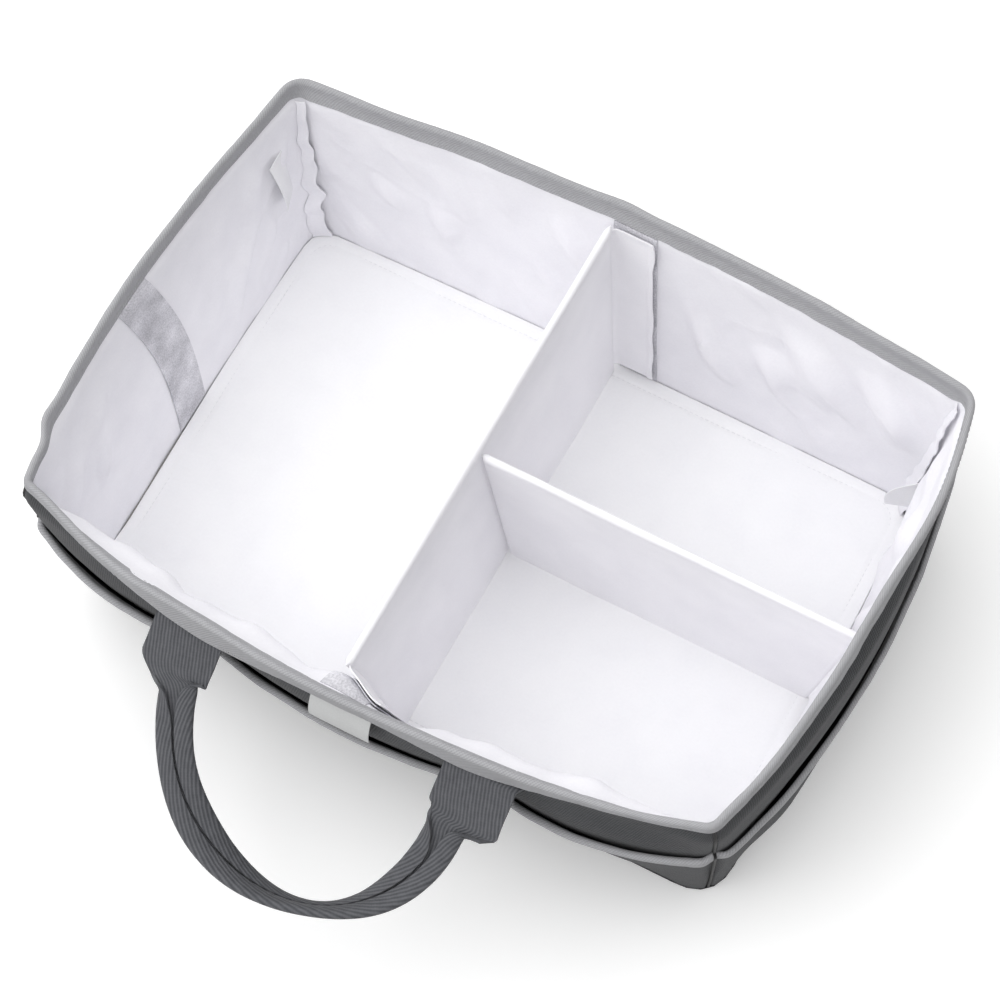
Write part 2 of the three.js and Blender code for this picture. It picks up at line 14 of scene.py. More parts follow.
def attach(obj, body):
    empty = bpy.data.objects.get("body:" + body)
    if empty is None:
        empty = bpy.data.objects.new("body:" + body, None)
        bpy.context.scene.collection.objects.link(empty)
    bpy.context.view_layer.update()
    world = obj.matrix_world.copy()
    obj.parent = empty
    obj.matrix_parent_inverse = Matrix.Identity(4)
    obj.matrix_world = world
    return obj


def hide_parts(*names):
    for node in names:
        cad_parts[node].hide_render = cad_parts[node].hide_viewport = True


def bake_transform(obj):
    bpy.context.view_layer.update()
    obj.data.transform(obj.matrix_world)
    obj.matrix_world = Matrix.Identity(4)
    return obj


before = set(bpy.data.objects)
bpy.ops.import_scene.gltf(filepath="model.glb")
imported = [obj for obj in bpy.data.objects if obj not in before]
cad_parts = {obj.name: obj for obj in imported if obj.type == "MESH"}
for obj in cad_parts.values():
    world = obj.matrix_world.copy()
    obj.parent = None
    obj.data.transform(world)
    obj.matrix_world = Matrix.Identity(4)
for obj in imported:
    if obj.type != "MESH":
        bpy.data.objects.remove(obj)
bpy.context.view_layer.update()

MM = 0.001

# %% [markdown]
# ## Camera
# The photograph looks down on the caddy from its front right, through a long lens. Its place and turn
# came from matching the rim, the handle and the dividers, so they are written down as one matrix.

# %% Camera at the photograph's angle
CAMERA_PLACE = Vector((0.3559, -0.4444, 1.3704))
CAMERA_RIGHT = Vector((0.8716, 0.4852, -0.0699))
CAMERA_UP = Vector((-0.4235, 0.8171, 0.3911))
CAMERA_BACK = Vector((0.2469, -0.3113, 0.9177))
CAMERA_LENS = 99.92  # millimetres, on a sensor 36 mm wide
bpy.ops.object.camera_add()
camera = bpy.context.object
camera.matrix_world = Matrix((CAMERA_RIGHT, CAMERA_UP, CAMERA_BACK)).transposed().to_4x4()
camera.location = CAMERA_PLACE
camera.data.lens = CAMERA_LENS
camera.data.sensor_width = 36
bpy.context.scene.camera = camera
print("camera stands", round(CAMERA_PLACE.length, 3), "m from the caddy's foot")

# %% [markdown]
# ## The walls' shape
# A soft box is never square: its rim leans, flares and bows out. One set of functions gives a point on
# a wall by its place along the side, its height and its distance from the outer face, as in the frame.
# Each layer of cloth asks the same functions, so the layers stay parallel and never cross.

# %% Sizes of the box
SIDES = ("front", "right", "back", "left")


def by_side(*sizes):
    """One size in millimetres for each side, as metres."""
    return {side: size * MM for side, size in zip(SIDES, sizes)}


BASE_LENGTH = 377 * MM
BASE_WIDTH = 242 * MM
RIM_LENGTH_FLARE = 12 * MM
RIM_WIDTH_FLARE = 18 * MM
RIM_HEIGHT = 140 * MM
# The rim stands askew over the base: it leans to the right, its back is shifted and its left end is wider
RIM_LEAN = 5 * MM
RIM_SKEW = 8 * MM
RIM_TAPER = 6 * MM
BASE_CORNER_RADIUS = 20 * MM
RIM_CORNER_RADIUS = 8 * MM
BASE_BOW = 2 * MM
RIM_BOW = by_side(22, 19, 14, 12)
GAP = 0.3 * MM
WALL_BOTTOM = 1.3 * MM
WALL_TOP = 137.6 * MM
FLOOR_TOP = 5.6 * MM
BOARD_TOP = 126.7 * MM
# How far a wall leans in above its board, where nothing stiff holds it
RIM_PULL = {"right": 9.5 * MM}
# Slow waves of the free edge, sideways and up and down
RIPPLE = 1.3 * MM
RIPPLE_LENGTH = 55 * MM
LIFT = 1.4 * MM
LIFT_LENGTH = 80 * MM
# Places on the rim that the hand has pushed in or out: x, y, depth and reach
RIM_DENTS = (
    (-185 * MM, -130 * MM, -6.5 * MM, 34 * MM),
    (195 * MM, -126 * MM, -4.0 * MM, 28 * MM),
    (-183 * MM, 130 * MM, 1.5 * MM, 30 * MM),
    (-195 * MM, -92 * MM, 2.6 * MM, 9 * MM),
    (-194 * MM, -104 * MM, -2.0 * MM, 8 * MM),
    (2 * MM, 142 * MM, 1.2 * MM, 12 * MM),
)


def mix(a, b, share):
    return a + (b - a) * share


def part_way(value, low, high):
    return min(max((value - low) / (high - low), 0), 1)


def smooth(value, low, high):
    share = part_way(value, low, high)
    return share * share * (3 - 2 * share)


rim_size = (BASE_LENGTH + RIM_LENGTH_FLARE, BASE_WIDTH + RIM_WIDTH_FLARE)
print("rim between its corners, mm:", [round(size / MM) for size in rim_size])


# %% Points on a wall
@lru_cache(maxsize=None)
def chord(side, z):
    """Middle, way, outward way and length of a wall's straight line at a height, its bow and its pull."""
    rise = z / RIM_HEIGHT
    half_length = (BASE_LENGTH + RIM_LENGTH_FLARE * rise) / 2
    half_width = (BASE_WIDTH + RIM_WIDTH_FLARE * rise) / 2
    taper = RIM_TAPER * rise / 4
    front_x = (RIM_LEAN - RIM_SKEW / 2) * rise
    back_x = (RIM_LEAN + RIM_SKEW / 2) * rise
    corners = (
        Vector((front_x - half_length, -half_width - taper)),
        Vector((front_x + half_length, -half_width + taper)),
        Vector((back_x + half_length, half_width - taper)),
        Vector((back_x - half_length, half_width + taper)),
    )
    index = SIDES.index(side)
    start = corners[index]
    end = corners[(index + 1) % 4]
    along = (end - start).normalized()
    outward = Vector((along.y, -along.x))
    bow = mix(BASE_BOW, RIM_BOW[side], rise)
    pull = RIM_PULL.get(side, 0) * smooth(z, BOARD_TOP - MM, RIM_HEIGHT)
    return (start + end) / 2, along, outward, (end - start).length, bow, pull


def corner_radius(z):
    return mix(BASE_CORNER_RADIUS, RIM_CORNER_RADIUS, z / RIM_HEIGHT)


def bowed(line, distance):
    """A point of the bowed wall by its distance from the middle, and the way along the wall there."""
    middle, along, outward, length, bow, pull = line

    def swell(share):
        return (1 - share * share) * (bow - pull * (1 - smooth(share, -0.1, 0.95)))

    share = 2 * distance / length
    slope = (swell(share + 0.01) - swell(share - 0.01)) / 0.02 * 2 / length
    return middle + along * distance + outward * swell(share), (along + outward * slope).normalized()


def rounded_corner(before, after, radius, t):
    start, start_way = bowed(before, before[3] / 2 - radius)
    end, end_way = bowed(after, radius - after[3] / 2)
    reach = (end - start).cross(end_way) / start_way.cross(end_way)
    control = start + start_way * reach
    point = start * (1 - t) ** 2 + control * (2 * t * (1 - t)) + end * (t * t)
    return point, ((control - start) * (1 - t) + (end - control) * t).normalized()


# %% Places on a wall
def ripple(point, z):
    wave = RIPPLE * noise.noise(Vector((point.x, point.y, 0)) / RIPPLE_LENGTH)
    for x, y, depth, reach in RIM_DENTS:
        wave += depth * math.exp(-((point.x - x) ** 2 + (point.y - y) ** 2) / reach ** 2)
    return wave * smooth(z, BOARD_TOP - 4 * MM, RIM_HEIGHT)


def lift(point, z):
    rise = z / RIM_HEIGHT
    return LIFT * rise ** 3 * noise.noise(Vector((point.x, point.y, 0.5)) / LIFT_LENGTH)


def pushed_out(point, way, z, offset):
    reach = offset + ripple(point, z)
    return Vector((point.x + way.y * reach, point.y - way.x * reach, z + lift(point, z)))


def wall_point(side, station, z, offset):
    """A point by its station: 0 to 1 along the wall, and one more at each end halfway round a corner."""
    index = SIDES.index(side)
    line = chord(side, z)
    radius = corner_radius(z)
    if station < 0:
        place = rounded_corner(chord(SIDES[index - 1], z), line, radius, 1 + station / 2)
    elif station > 1:
        place = rounded_corner(line, chord(SIDES[(index + 1) % 4], z), radius, (station - 1) / 2)
    else:
        place = bowed(line, (station - 0.5) * (line[3] - 2 * radius))
    return pushed_out(*place, z, offset)


def side_point(side, place, z, offset):
    """A point by its place along the side in metres from the middle of the box."""
    line = chord(side, z)
    straight = chord(side, 0)[1]
    distance = (place - line[0].dot(straight)) / line[1].dot(straight)
    return pushed_out(*bowed(line, distance), z, offset)


# %% Lengths along a wall
CORNER_RUN = 12 * MM


def wall_run(side):
    return chord(side, RIM_HEIGHT)[3] - 2 * RIM_CORNER_RADIUS + 2 * CORNER_RUN


def station_at(side, share):
    end = CORNER_RUN / wall_run(side)
    if share < end:
        return share / end - 1
    if share > 1 - end:
        return 1 + (share - 1 + end) / end
    return (share - end) / (1 - 2 * end)


print("wall runs, mm:", [round(wall_run(side) / MM) for side in SIDES])

# %% [markdown]
# ## Cutting and laying cloth
# A cloth starts as a flat grid, as it would on a cutting table. Its UV map is stretched to the real
# size in metres, so that every weave has the same scale on every piece, and then each crossing of the
# grid is laid at its place. A Solidify modifier gives the cloth its thickness at the end.


# %% Helpers for cloth
def cut_cloth(name, columns, rows):
    bpy.ops.object.select_all(action="DESELECT")
    bpy.ops.mesh.primitive_grid_add(
        x_subdivisions=columns, y_subdivisions=rows, size=1, location=(0.5, 0.5, 0)
    )
    bpy.ops.object.transform_apply(location=True)
    piece = bpy.context.object
    piece.name = name
    return piece


def to_ends(share):
    """Crowds the columns of a grid towards its two ends, where the seams are."""
    return share - 0.75 * math.sin(2 * math.pi * share) / (2 * math.pi)


def lay(piece, place, across, up, spread=lambda share: share):
    for vertex in piece.data.vertices:
        vertex.co = place(spread(vertex.co.x), vertex.co.y)
    for corner in piece.data.uv_layers.active.data:
        corner.uv = (spread(corner.uv.x) * across, corner.uv.y * up)


def pick(piece):
    bpy.ops.object.select_all(action="DESELECT")
    piece.select_set(True)
    bpy.context.view_layer.objects.active = piece


# %% Closing, thickening and finishing
def open_mesh(piece):
    """Edit mode, with everything selected."""
    pick(piece)
    bpy.ops.object.mode_set(mode="EDIT")
    bpy.ops.mesh.select_all(action="SELECT")


def close_mesh():
    bpy.ops.object.mode_set(mode="OBJECT")


def close_seams(piece):
    open_mesh(piece)
    bpy.ops.mesh.remove_doubles(threshold=0.01 * MM)
    close_mesh()


def close_hole(piece, fill):
    """Fills the edge that is left open with one of Blender's operators, and turns the faces outwards."""
    open_mesh(piece)
    bpy.ops.mesh.select_mode(type="EDGE")
    bpy.ops.mesh.select_all(action="DESELECT")
    bpy.ops.mesh.select_non_manifold()
    fill()
    bpy.ops.mesh.select_all(action="SELECT")
    bpy.ops.mesh.normals_make_consistent(inside=False)
    bpy.ops.mesh.select_mode(type="VERT")
    close_mesh()


def thicken(piece, thickness, offset=0):
    pick(piece)
    layer = piece.modifiers.new("cloth", "SOLIDIFY")
    layer.thickness = thickness
    layer.offset = offset
    bpy.ops.object.modifier_apply(modifier=layer.name)


def make_cloth(name, grid, place, size, thickness, *spread):
    """Cuts a cloth, lays it and gives it its thickness."""
    piece = cut_cloth(name, *grid)
    lay(piece, place, *size, *spread)
    thicken(piece, thickness)
    return piece


def paint(piece, material):
    piece.data.materials.clear()
    piece.data.materials.append(material)


def finish(piece, material, slot, *nodes):
    pick(piece)
    bpy.ops.object.shade_smooth_by_angle(angle=math.radians(50))
    paint(piece, material)
    if nodes:
        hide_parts(*nodes)


# %% [markdown]
# ## Finishes
# The caddy has a dark polyester twill shell, a paler twill binding, heavy twill webbing, a thin white
# lining, smoother white divider cloth, and brushed loop tape. Each is a node material that reads the
# cloth's own UV map in metres, so a rib is as wide on the rim as on a pocket. Woven polyester has no
# mirror in it: it is rough, with a weak highlight and a little sheen from the loose fibres.


# %% Node helper and colours
def linear(colour):
    channels = [int(colour[i:i + 2], 16) / 255 for i in (1, 3, 5)]
    return (*[c / 12.92 if c <= 0.04045 else ((c + 0.055) / 1.055) ** 2.4 for c in channels], 1)


def add_node(tree, kind, settings=None, values=None, links=None):
    node = tree.nodes.new(kind)
    for name, value in (settings or {}).items():
        setattr(node, name, value)
    for socket, value in (values or {}).items():
        node.inputs[socket].default_value = value
    for socket, source in (links or {}).items():
        tree.links.new(source, node.inputs[socket])
    return node


def new_material(name):
    material = bpy.data.materials.new(name)
    material.use_nodes = True
    tree = material.node_tree
    return material, tree, tree.nodes["Principled BSDF"]


# %% [markdown]
# Twill shows slanting ribs. A wave along the turned UV gives the ribs, a second, finer wave across them
# gives the single yarns, and a slow noise makes some ribs paler, as dyed polyester is.

# %% Twill cloths
WAVE_PERIOD = 2 * math.pi / 20


def twill(name, shade, light, rib, turn, bump, roughness=0.85, cross=0.35):
    material, tree, shader = new_material(name)
    uv = add_node(tree, "ShaderNodeTexCoord").outputs["UV"]
    turned = add_node(
        tree, "ShaderNodeMapping", values={"Rotation": (0, 0, math.radians(turn))}, links={"Vector": uv}
    ).outputs["Vector"]
    ribs = add_node(
        tree,
        "ShaderNodeTexWave",
        settings={"bands_direction": "X"},
        values={"Scale": WAVE_PERIOD / rib, "Distortion": 0.9, "Detail": 2.0, "Detail Scale": 1.5},
        links={"Vector": turned},
    ).outputs["Fac"]
    yarns = add_node(
        tree,
        "ShaderNodeTexWave",
        settings={"bands_direction": "Y"},
        values={"Scale": WAVE_PERIOD / (rib * 0.8), "Distortion": 1.5, "Detail": 2.0},
        links={"Vector": turned},
    ).outputs["Fac"]
    flecks = add_node(
        tree, "ShaderNodeTexNoise", values={"Scale": 1 / (2.2 * rib), "Detail": 4.0}, links={"Vector": uv}
    ).outputs["Fac"]
    clouds = add_node(
        tree, "ShaderNodeTexNoise", values={"Scale": 22.0, "Detail": 3.0}, links={"Vector": uv}
    ).outputs["Fac"]
    weave = add_node(
        tree,
        "ShaderNodeMath",
        settings={"operation": "MULTIPLY_ADD"},
        values={1: cross},
        links={0: yarns, 2: ribs},
    ).outputs[0]
    worn = add_node(
        tree,
        "ShaderNodeMath",
        settings={"operation": "MULTIPLY_ADD"},
        values={1: 0.9},
        links={0: flecks, 2: weave},
    ).outputs[0]
    tone = add_node(
        tree,
        "ShaderNodeMath",
        settings={"operation": "MULTIPLY_ADD"},
        values={1: 0.6},
        links={0: clouds, 2: worn},
    ).outputs[0]
    ramp = add_node(tree, "ShaderNodeValToRGB", links={"Fac": add_node(
        tree, "ShaderNodeMapRange", values={"From Min": 0.7, "From Max": 2.0}, links={"Value": tone}
    ).outputs["Result"]})
    ramp.color_ramp.elements[0].color = linear(shade)
    ramp.color_ramp.elements[1].color = linear(light)
    raised = add_node(
        tree,
        "ShaderNodeBump",
        values={"Strength": bump, "Distance": 0.25 * rib},
        links={"Height": worn},
    ).outputs["Normal"]
    tree.links.new(ramp.outputs["Color"], shader.inputs["Base Color"])
    tree.links.new(raised, shader.inputs["Normal"])
    shader.inputs["Roughness"].default_value = roughness
    shader.inputs["Specular IOR Level"].default_value = 0.25
    shader.inputs["Sheen Weight"].default_value = 0.12
    return material


# %% The three twills
# Real twill ribs are about 0.5 mm apart. They are drawn coarser here, because finer ones wouldn't show.
shell_twill = twill("polyester twill, dark grey", "#2b2c2e", "#444548", 1.3 * MM, 17, 0.5)
binding_twill = twill("polyester binding tape, pale grey", "#98989b", "#b0b0b3", 1.25 * MM, 40, 0.4)
webbing_twill = twill("polyester webbing, mid grey", "#45464a", "#65666a", 1.8 * MM, 15, 0.6, 0.75, 0.1)
print("three twills")

# %% [markdown]
# The white cloths are thin non-woven and plain weave. Close to, they show a soft mottle and fine creases
# and nothing else, so a noise in two sizes drives both the faint colour change and the bump.


# %% White cloths, tapes, board and thread
def soft_cloth(name, shade, light, grain, bump, roughness=0.9):
    material, tree, shader = new_material(name)
    uv = add_node(tree, "ShaderNodeTexCoord").outputs["UV"]
    fine = add_node(
        tree, "ShaderNodeTexNoise", values={"Scale": 1 / grain, "Detail": 3.0}, links={"Vector": uv}
    ).outputs["Fac"]
    mottle = add_node(
        tree, "ShaderNodeTexNoise", values={"Scale": 40.0, "Detail": 4.0}, links={"Vector": uv}
    ).outputs["Fac"]
    tone = add_node(
        tree,
        "ShaderNodeMath",
        settings={"operation": "MULTIPLY_ADD"},
        values={1: 0.6},
        links={0: fine, 2: mottle},
    ).outputs[0]
    ramp = add_node(tree, "ShaderNodeValToRGB", links={"Fac": add_node(
        tree, "ShaderNodeMapRange", values={"From Min": 0.5, "From Max": 1.1}, links={"Value": tone}
    ).outputs["Result"]})
    ramp.color_ramp.elements[0].color = linear(shade)
    ramp.color_ramp.elements[1].color = linear(light)
    raised = add_node(
        tree, "ShaderNodeBump", values={"Strength": bump, "Distance": 0.4 * MM}, links={"Height": tone}
    ).outputs["Normal"]
    tree.links.new(ramp.outputs["Color"], shader.inputs["Base Color"])
    tree.links.new(raised, shader.inputs["Normal"])
    shader.inputs["Roughness"].default_value = roughness
    shader.inputs["Specular IOR Level"].default_value = 0.2
    shader.inputs["Sheen Weight"].default_value = 0.08
    return material


# %% The plain cloths
# Thin white cloths: matt, a faint cool mottle
lining = soft_cloth("polyester lining, white", "#eeedf2", "#f6f5f9", 1.5 * MM, 0.35)
pad_cloth = soft_cloth("quilted floor cloth, white", "#f5f5f7", "#fbfbfc", 1.5 * MM, 0.25)
divider_cloth = soft_cloth("divider cloth, white", "#f2f1f5", "#faf9fc", 1.2 * MM, 0.25)
# Tapes: a fuzzy, speckled grey pile, and its stiffer, slightly glossy hooks
brushed_loop = soft_cloth("brushed loop tape, grey", "#9b9aa1", "#fbfaff", 1.0 * MM, 0.9, 0.95)
moulded_hook = soft_cloth("woven hook tape, pale grey", "#c2c1c8", "#d8d7dc", 1.0 * MM, 0.9, 0.6)
# Satin labels: smoother, with a soft shine
label_satin = soft_cloth("woven satin label, off-white", "#c2c3c3", "#d0d1d1", 0.8 * MM, 0.2, 0.5)
care_satin = soft_cloth("printed satin label, white", "#ececee", "#f6f6f7", 0.8 * MM, 0.2, 0.5)
# Board of pressed waste paper: dull, flecked grey, hidden inside the walls
greyboard = soft_cloth("pressed greyboard", "#8f8d89", "#a9a7a2", 1.0 * MM, 0.3, 0.85)
# Polyester thread: a tight twist with a small highlight
dark_thread = soft_cloth("sewing thread, dark grey", "#18191b", "#242528", 0.5 * MM, 0.2, 0.6)
# Near-black cord along the corner seams: painted shade for the deep shadow in each seam groove
seam_shadow_cord = soft_cloth("painted seam shadow, near black", "#060607", "#0c0c0d", 0.5 * MM, 0.2, 0.6)
grey_thread = soft_cloth("sewing thread, pale grey", "#9c9c9f", "#b2b2b5", 0.5 * MM, 0.2, 0.6)
white_thread = soft_cloth("sewing thread, white", "#e2e2e5", "#efeff1", 0.5 * MM, 0.2, 0.6)
print("cloths, tapes, board and threads")

# %% [markdown]
# ## Outer walls
# Each wall is one panel of twill, sewn to the next along a corner seam. The seam pulls the cloth in, and
# the stiff board behind it keeps the rest nearly flat. Where an empty pocket lies on it, the panel swells
# out with the pocket, so the pocket's mouth is a narrow slit.

# %% How far the pockets stand off
HANDLE_SPACING = 161 * MM
POCKET_HEIGHT = 96 * MM
POCKET_DIP = 9 * MM
EDGE_ROOM = 1.3 * MM
POCKET_FOOT = 0.1 * MM
# Millimetres that each mouth swells, and gapes at its very edge, from the first seam to the last
POCKET_BULGE = {"front": (6.5, 5.5, 7), "right": (5,), "back": (6, 5, 6), "left": (3,)}
POCKET_GAPE = {"front": (2.2, 1.2, 1.5), "right": (1,), "back": (2, 1.2, 1.5), "left": (1,)}
GAPE_DEPTH = 18 * MM
# The right pocket is slack beside the near corner: how much, where most, and where it ends
CORNER_BELLY = 5 * MM
BELLY_PEAK = 50 * MM
BELLY_END = 140 * MM
TAPE_ROOM = 1.6 * MM
TAB_ROOM = 3.5 * MM


def station_distance(side, station):
    run = chord(side, RIM_HEIGHT)[3] - 2 * RIM_CORNER_RADIUS
    beyond = max(-station, station - 1, 0) * RIM_CORNER_RADIUS
    inside = (min(max(station, 0), 1) - 0.5) * run
    return inside + math.copysign(beyond, inside)


def pocket_hang(side, distance):
    """Room at the seams and how far the cloth swells and gapes between them."""
    end = chord(side, RIM_HEIGHT)[3] / 2
    seams = [(-end, TAPE_ROOM), (end, TAPE_ROOM)]
    if side in ("front", "back"):
        seams[1:1] = [(-HANDLE_SPACING / 2, TAB_ROOM), (HANDLE_SPACING / 2, TAB_ROOM)]
    last = next(i for i in range(1, len(seams)) if distance <= seams[i][0] or i == len(seams) - 1)
    (start, start_room), (stop, stop_room) = seams[last - 1], seams[last]
    share = (distance - start) / (stop - start)
    sag = 4 * share * (1 - share) * MM
    room = mix(start_room, stop_room, share)
    return room, POCKET_BULGE[side][last - 1] * sag, POCKET_GAPE[side][last - 1] * sag


def pocket_stand_off(side, distance):
    room, bulge, _ = pocket_hang(side, distance)
    return room + bulge


def pocket_top(side, distance):
    share = 2 * distance / chord(side, RIM_HEIGHT)[3]
    return POCKET_HEIGHT - EDGE_ROOM - POCKET_DIP * (1 - share * share)


print("pocket tops dip to", round(pocket_top("front", 0) / MM, 1), "mm above the floor")

# %% Outer panels
SEAM_REACH = 2.0 * MM
POCKET_SEAM_REACH = 7 * MM
SEAM_PULL = 1.8 * MM
SEAM_FADE = (129 * MM, 136 * MM)
CLOTH = 1.0 * MM
SHELL_MIDDLE = -0.5 * MM
SHELL_SLACK = 0.25 * MM
POCKET_SLIT = 1.9 * MM
# Heights between which the shell swells out with its pocket, and goes back in above it
SWELL_RISE = (8 * MM, 82 * MM)
SWELL_FALL = (94 * MM, 131 * MM)


def seam_pull(side, share, z, reach=SEAM_REACH):
    from_seam = min(share, 1 - share) * wall_run(side)
    return -SEAM_PULL * (1 - smooth(from_seam, 0, reach)) * (1 - smooth(z, *SEAM_FADE))


def slow_wave(point, length):
    return noise.noise(point / length)


def wall_cloth(name, side, offset, thickness, wrinkle, grid=(180, 44)):
    def place(u, v):
        station = station_at(side, u)
        z = mix(WALL_BOTTOM, WALL_TOP, v)
        flat = wall_point(side, station, z, 0)
        return wall_point(side, station, z, offset + wrinkle(side, u, flat))

    return make_cloth(name, grid, place, (wall_run(side), WALL_TOP - WALL_BOTTOM), thickness, to_ends)


def belly(side, share, z):
    """The empty pocket lies against the shell, which swells out with it below the rim."""
    stand = pocket_stand_off(side, station_distance(side, station_at(side, share))) - POCKET_SLIT
    return max(stand, 0) * smooth(z, *SWELL_RISE) * (1 - smooth(z, *SWELL_FALL))


def shell_wrinkle(side, share, point):
    slack = SHELL_SLACK * slow_wave(point, 18 * MM)
    return seam_pull(side, share, point.z) + slack + belly(side, share, point.z)


for side in SIDES:
    panel = wall_cloth(f"{side}_shell", side, SHELL_MIDDLE, CLOTH * 0.9, shell_wrinkle)
    finish(panel, shell_twill, "shell_cloth", f"outer_{side}_panel")
    wall_run(side)
    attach(panel, "box")
    paint(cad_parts[f"{side}_wall_board"], greyboard)
print("four shell panels")

# %% [markdown]
# ## Pockets
# A pocket is a second layer of twill that stands off the wall between its seams and swells towards its
# open top. At the front and back it is also caught under the handles, which makes three mouths.

# %% Pockets
# The cloth is loose away from its side seams and above its foot, and the seams pull it in further higher up
POCKET_LOOSE = 0.9 * MM
POCKET_WAVE = 22 * MM
LOOSE_FROM_SEAM = 25 * MM
LOOSE_RISE = (3 * MM, 30 * MM)
PULL_RISE = (30 * MM, 80 * MM)


def corner_belly(side, distance, rise):
    if side != "right":
        return 0
    from_corner = distance + chord(side, RIM_HEIGHT)[3] / 2
    near = smooth(from_corner, 0, BELLY_PEAK) * (1 - smooth(from_corner, BELLY_PEAK, BELLY_END))
    return CORNER_BELLY * math.sin(math.pi * min(rise, 1)) * near


def pocket_middle(side, distance, z):
    """How far the middle of the pocket's cloth stands off the wall."""
    top = pocket_top(side, distance)
    rise = (z - WALL_BOTTOM) / (top - WALL_BOTTOM)
    swell = math.sin(min(rise, 1) * math.pi / 2)
    gape = pocket_hang(side, distance)[2] * max(1 - (top - z) / GAPE_DEPTH, 0) ** 2
    gape += corner_belly(side, distance, rise)
    return mix(POCKET_FOOT, pocket_stand_off(side, distance), swell) + gape + CLOTH / 2


def pocket_wrinkle(side, share, point):
    loose = smooth(min(share, 1 - share) * wall_run(side), 0, LOOSE_FROM_SEAM)
    loose *= smooth(point.z, *LOOSE_RISE)
    reach = mix(SEAM_REACH, POCKET_SEAM_REACH, smooth(point.z, *PULL_RISE))
    pull = seam_pull(side, share, point.z, reach)
    return pull + loose * POCKET_LOOSE * (1 + slow_wave(point, POCKET_WAVE)) / 2


for side in SIDES:

    def pocket_place(u, v):
        station = station_at(side, u)
        distance = station_distance(side, station)
        z = mix(WALL_BOTTOM, pocket_top(side, distance), v)
        flat = wall_point(side, station, z, 0)
        stand = pocket_middle(side, distance, z) + pocket_wrinkle(side, u, flat)
        return wall_point(side, station, z, stand)

    size = (wall_run(side), POCKET_HEIGHT)
    pocket = make_cloth(f"{side}_pocket_cloth", (180, 34), pocket_place, size, CLOTH * 0.9, to_ends)
    finish(pocket, shell_twill, "shell_cloth", f"{side}_pocket")
    wall_run(side) + 0.01
    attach(pocket, "box")
print("four pockets")

# %% [markdown]
# ## Binding
# Binding is a straight tape folded in half over a raw edge and sewn through. The fold is a half round,
# and because the tape is pulled round the corners by hand, its lower edge is never quite even.

# %% Tape over the pocket edges
TAPE_LOOSE = by_side(0.6, 0.1, 0.6, 0.4)
TAPE = 0.8 * MM
POCKET_LEG = 9.5 * MM
POCKET_SHORT_LEG = 5.5 * MM


def pocket_leg(side, share):
    if side == "right":
        return POCKET_SHORT_LEG
    if side == "front":
        return mix(POCKET_LEG, POCKET_SHORT_LEG, smooth(share, 0.3, 0.85))
    return POCKET_LEG


def fold_over(v, leg, inner_leg, radius):
    """Drop below the fold's centre, rise above it, and the face, from 1 outside to -1 inside."""
    run = v * (leg + inner_leg + math.pi * radius)
    if run < leg:
        return leg - run, 0, 1
    if run > leg + math.pi * radius:
        return run - leg - math.pi * radius, 0, -1
    turn = (run - leg) / radius
    return 0, math.sin(turn), math.cos(turn)


def pucker(point, amount):
    return amount * (1 + slow_wave(point, 4 * MM)) / 2 + amount * slow_wave(point, 12 * MM)


for side in SIDES:
    fold_radius = CLOTH / 2 + TAPE_LOOSE[side] + TAPE / 2
    width = pocket_leg(side, 0.5) + POCKET_SHORT_LEG + math.pi * fold_radius

    def tape_place(u, v):
        station = station_at(side, u)
        distance = station_distance(side, station)
        top = pocket_top(side, distance)
        drop, crown, face = fold_over(v, pocket_leg(side, u), POCKET_SHORT_LEG, fold_radius)
        z = top - drop + crown * fold_radius
        flat = wall_point(side, station, min(z, top), 0)
        stand = pocket_middle(side, distance, min(z, top)) + pocket_wrinkle(side, u, flat)
        swell = pucker(flat, 0.18 * MM) * max(face, 0)
        return wall_point(side, station, z, stand + face * fold_radius + swell)

    size = (wall_run(side), width)
    tape = make_cloth(f"{side}_pocket_tape", (200, 22), tape_place, size, TAPE * 0.9, to_ends)
    finish(tape, binding_twill, "binding_tape", f"{side}_pocket_binding")
    wall_run(side) + 0.01
    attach(tape, "box")
print("four pocket tapes")

# %% [markdown]
# The rim tape runs all the way round as one loop. Its ends meet at the back, so the first and the last
# column of the grid are merged.

# %% Tape over the rim
RIM_RADIUS = 1.4 * MM
RIM_LEG = 11.5 * MM
RIM_SHORT_LEG = 3 * MM
RIM_INNER_LEG = by_side(8, 3.5, 8.5, 6)
RIM_MIDDLE = -0.95 * MM
RIM_FOLD_Z = RIM_HEIGHT - TAPE / 2 - RIM_RADIUS
LINER_MIDDLE = -3.95 * MM
LINER_TOP = -1.5 * MM
LINER_TURN = (127 * MM, 135 * MM)
# Where the front tape stands away from the wall: place along it, reach and depth
RIM_FLARES = (
    (-85 * MM, 50 * MM, 4.8 * MM),
    (80 * MM, 35 * MM, 3.2 * MM),
    (0, 80 * MM, 1.2 * MM),
)
rim_runs = [wall_run(side) for side in SIDES]
RIM_RUN = sum(rim_runs)


def liner_rest(z):
    return mix(LINER_MIDDLE, LINER_TOP, smooth(z, *LINER_TURN))


def rim_place(share):
    run = share * RIM_RUN
    for side, length in zip(SIDES, rim_runs):
        if run <= length or side == SIDES[-1]:
            return side, station_at(side, min(run / length, 1))
        run -= length


def rim_point(share, z, offset):
    side, station = rim_place(share)
    return wall_point(side, station, z, offset)


# %% How the rim tape stands and how wide it is
def rim_flare(share):
    side, station = rim_place(share)
    if side != "front":
        return 0
    x = (station - 0.5) * rim_runs[0]
    return sum(depth * math.exp(-((x - place) / reach) ** 2) for place, reach, depth in RIM_FLARES)


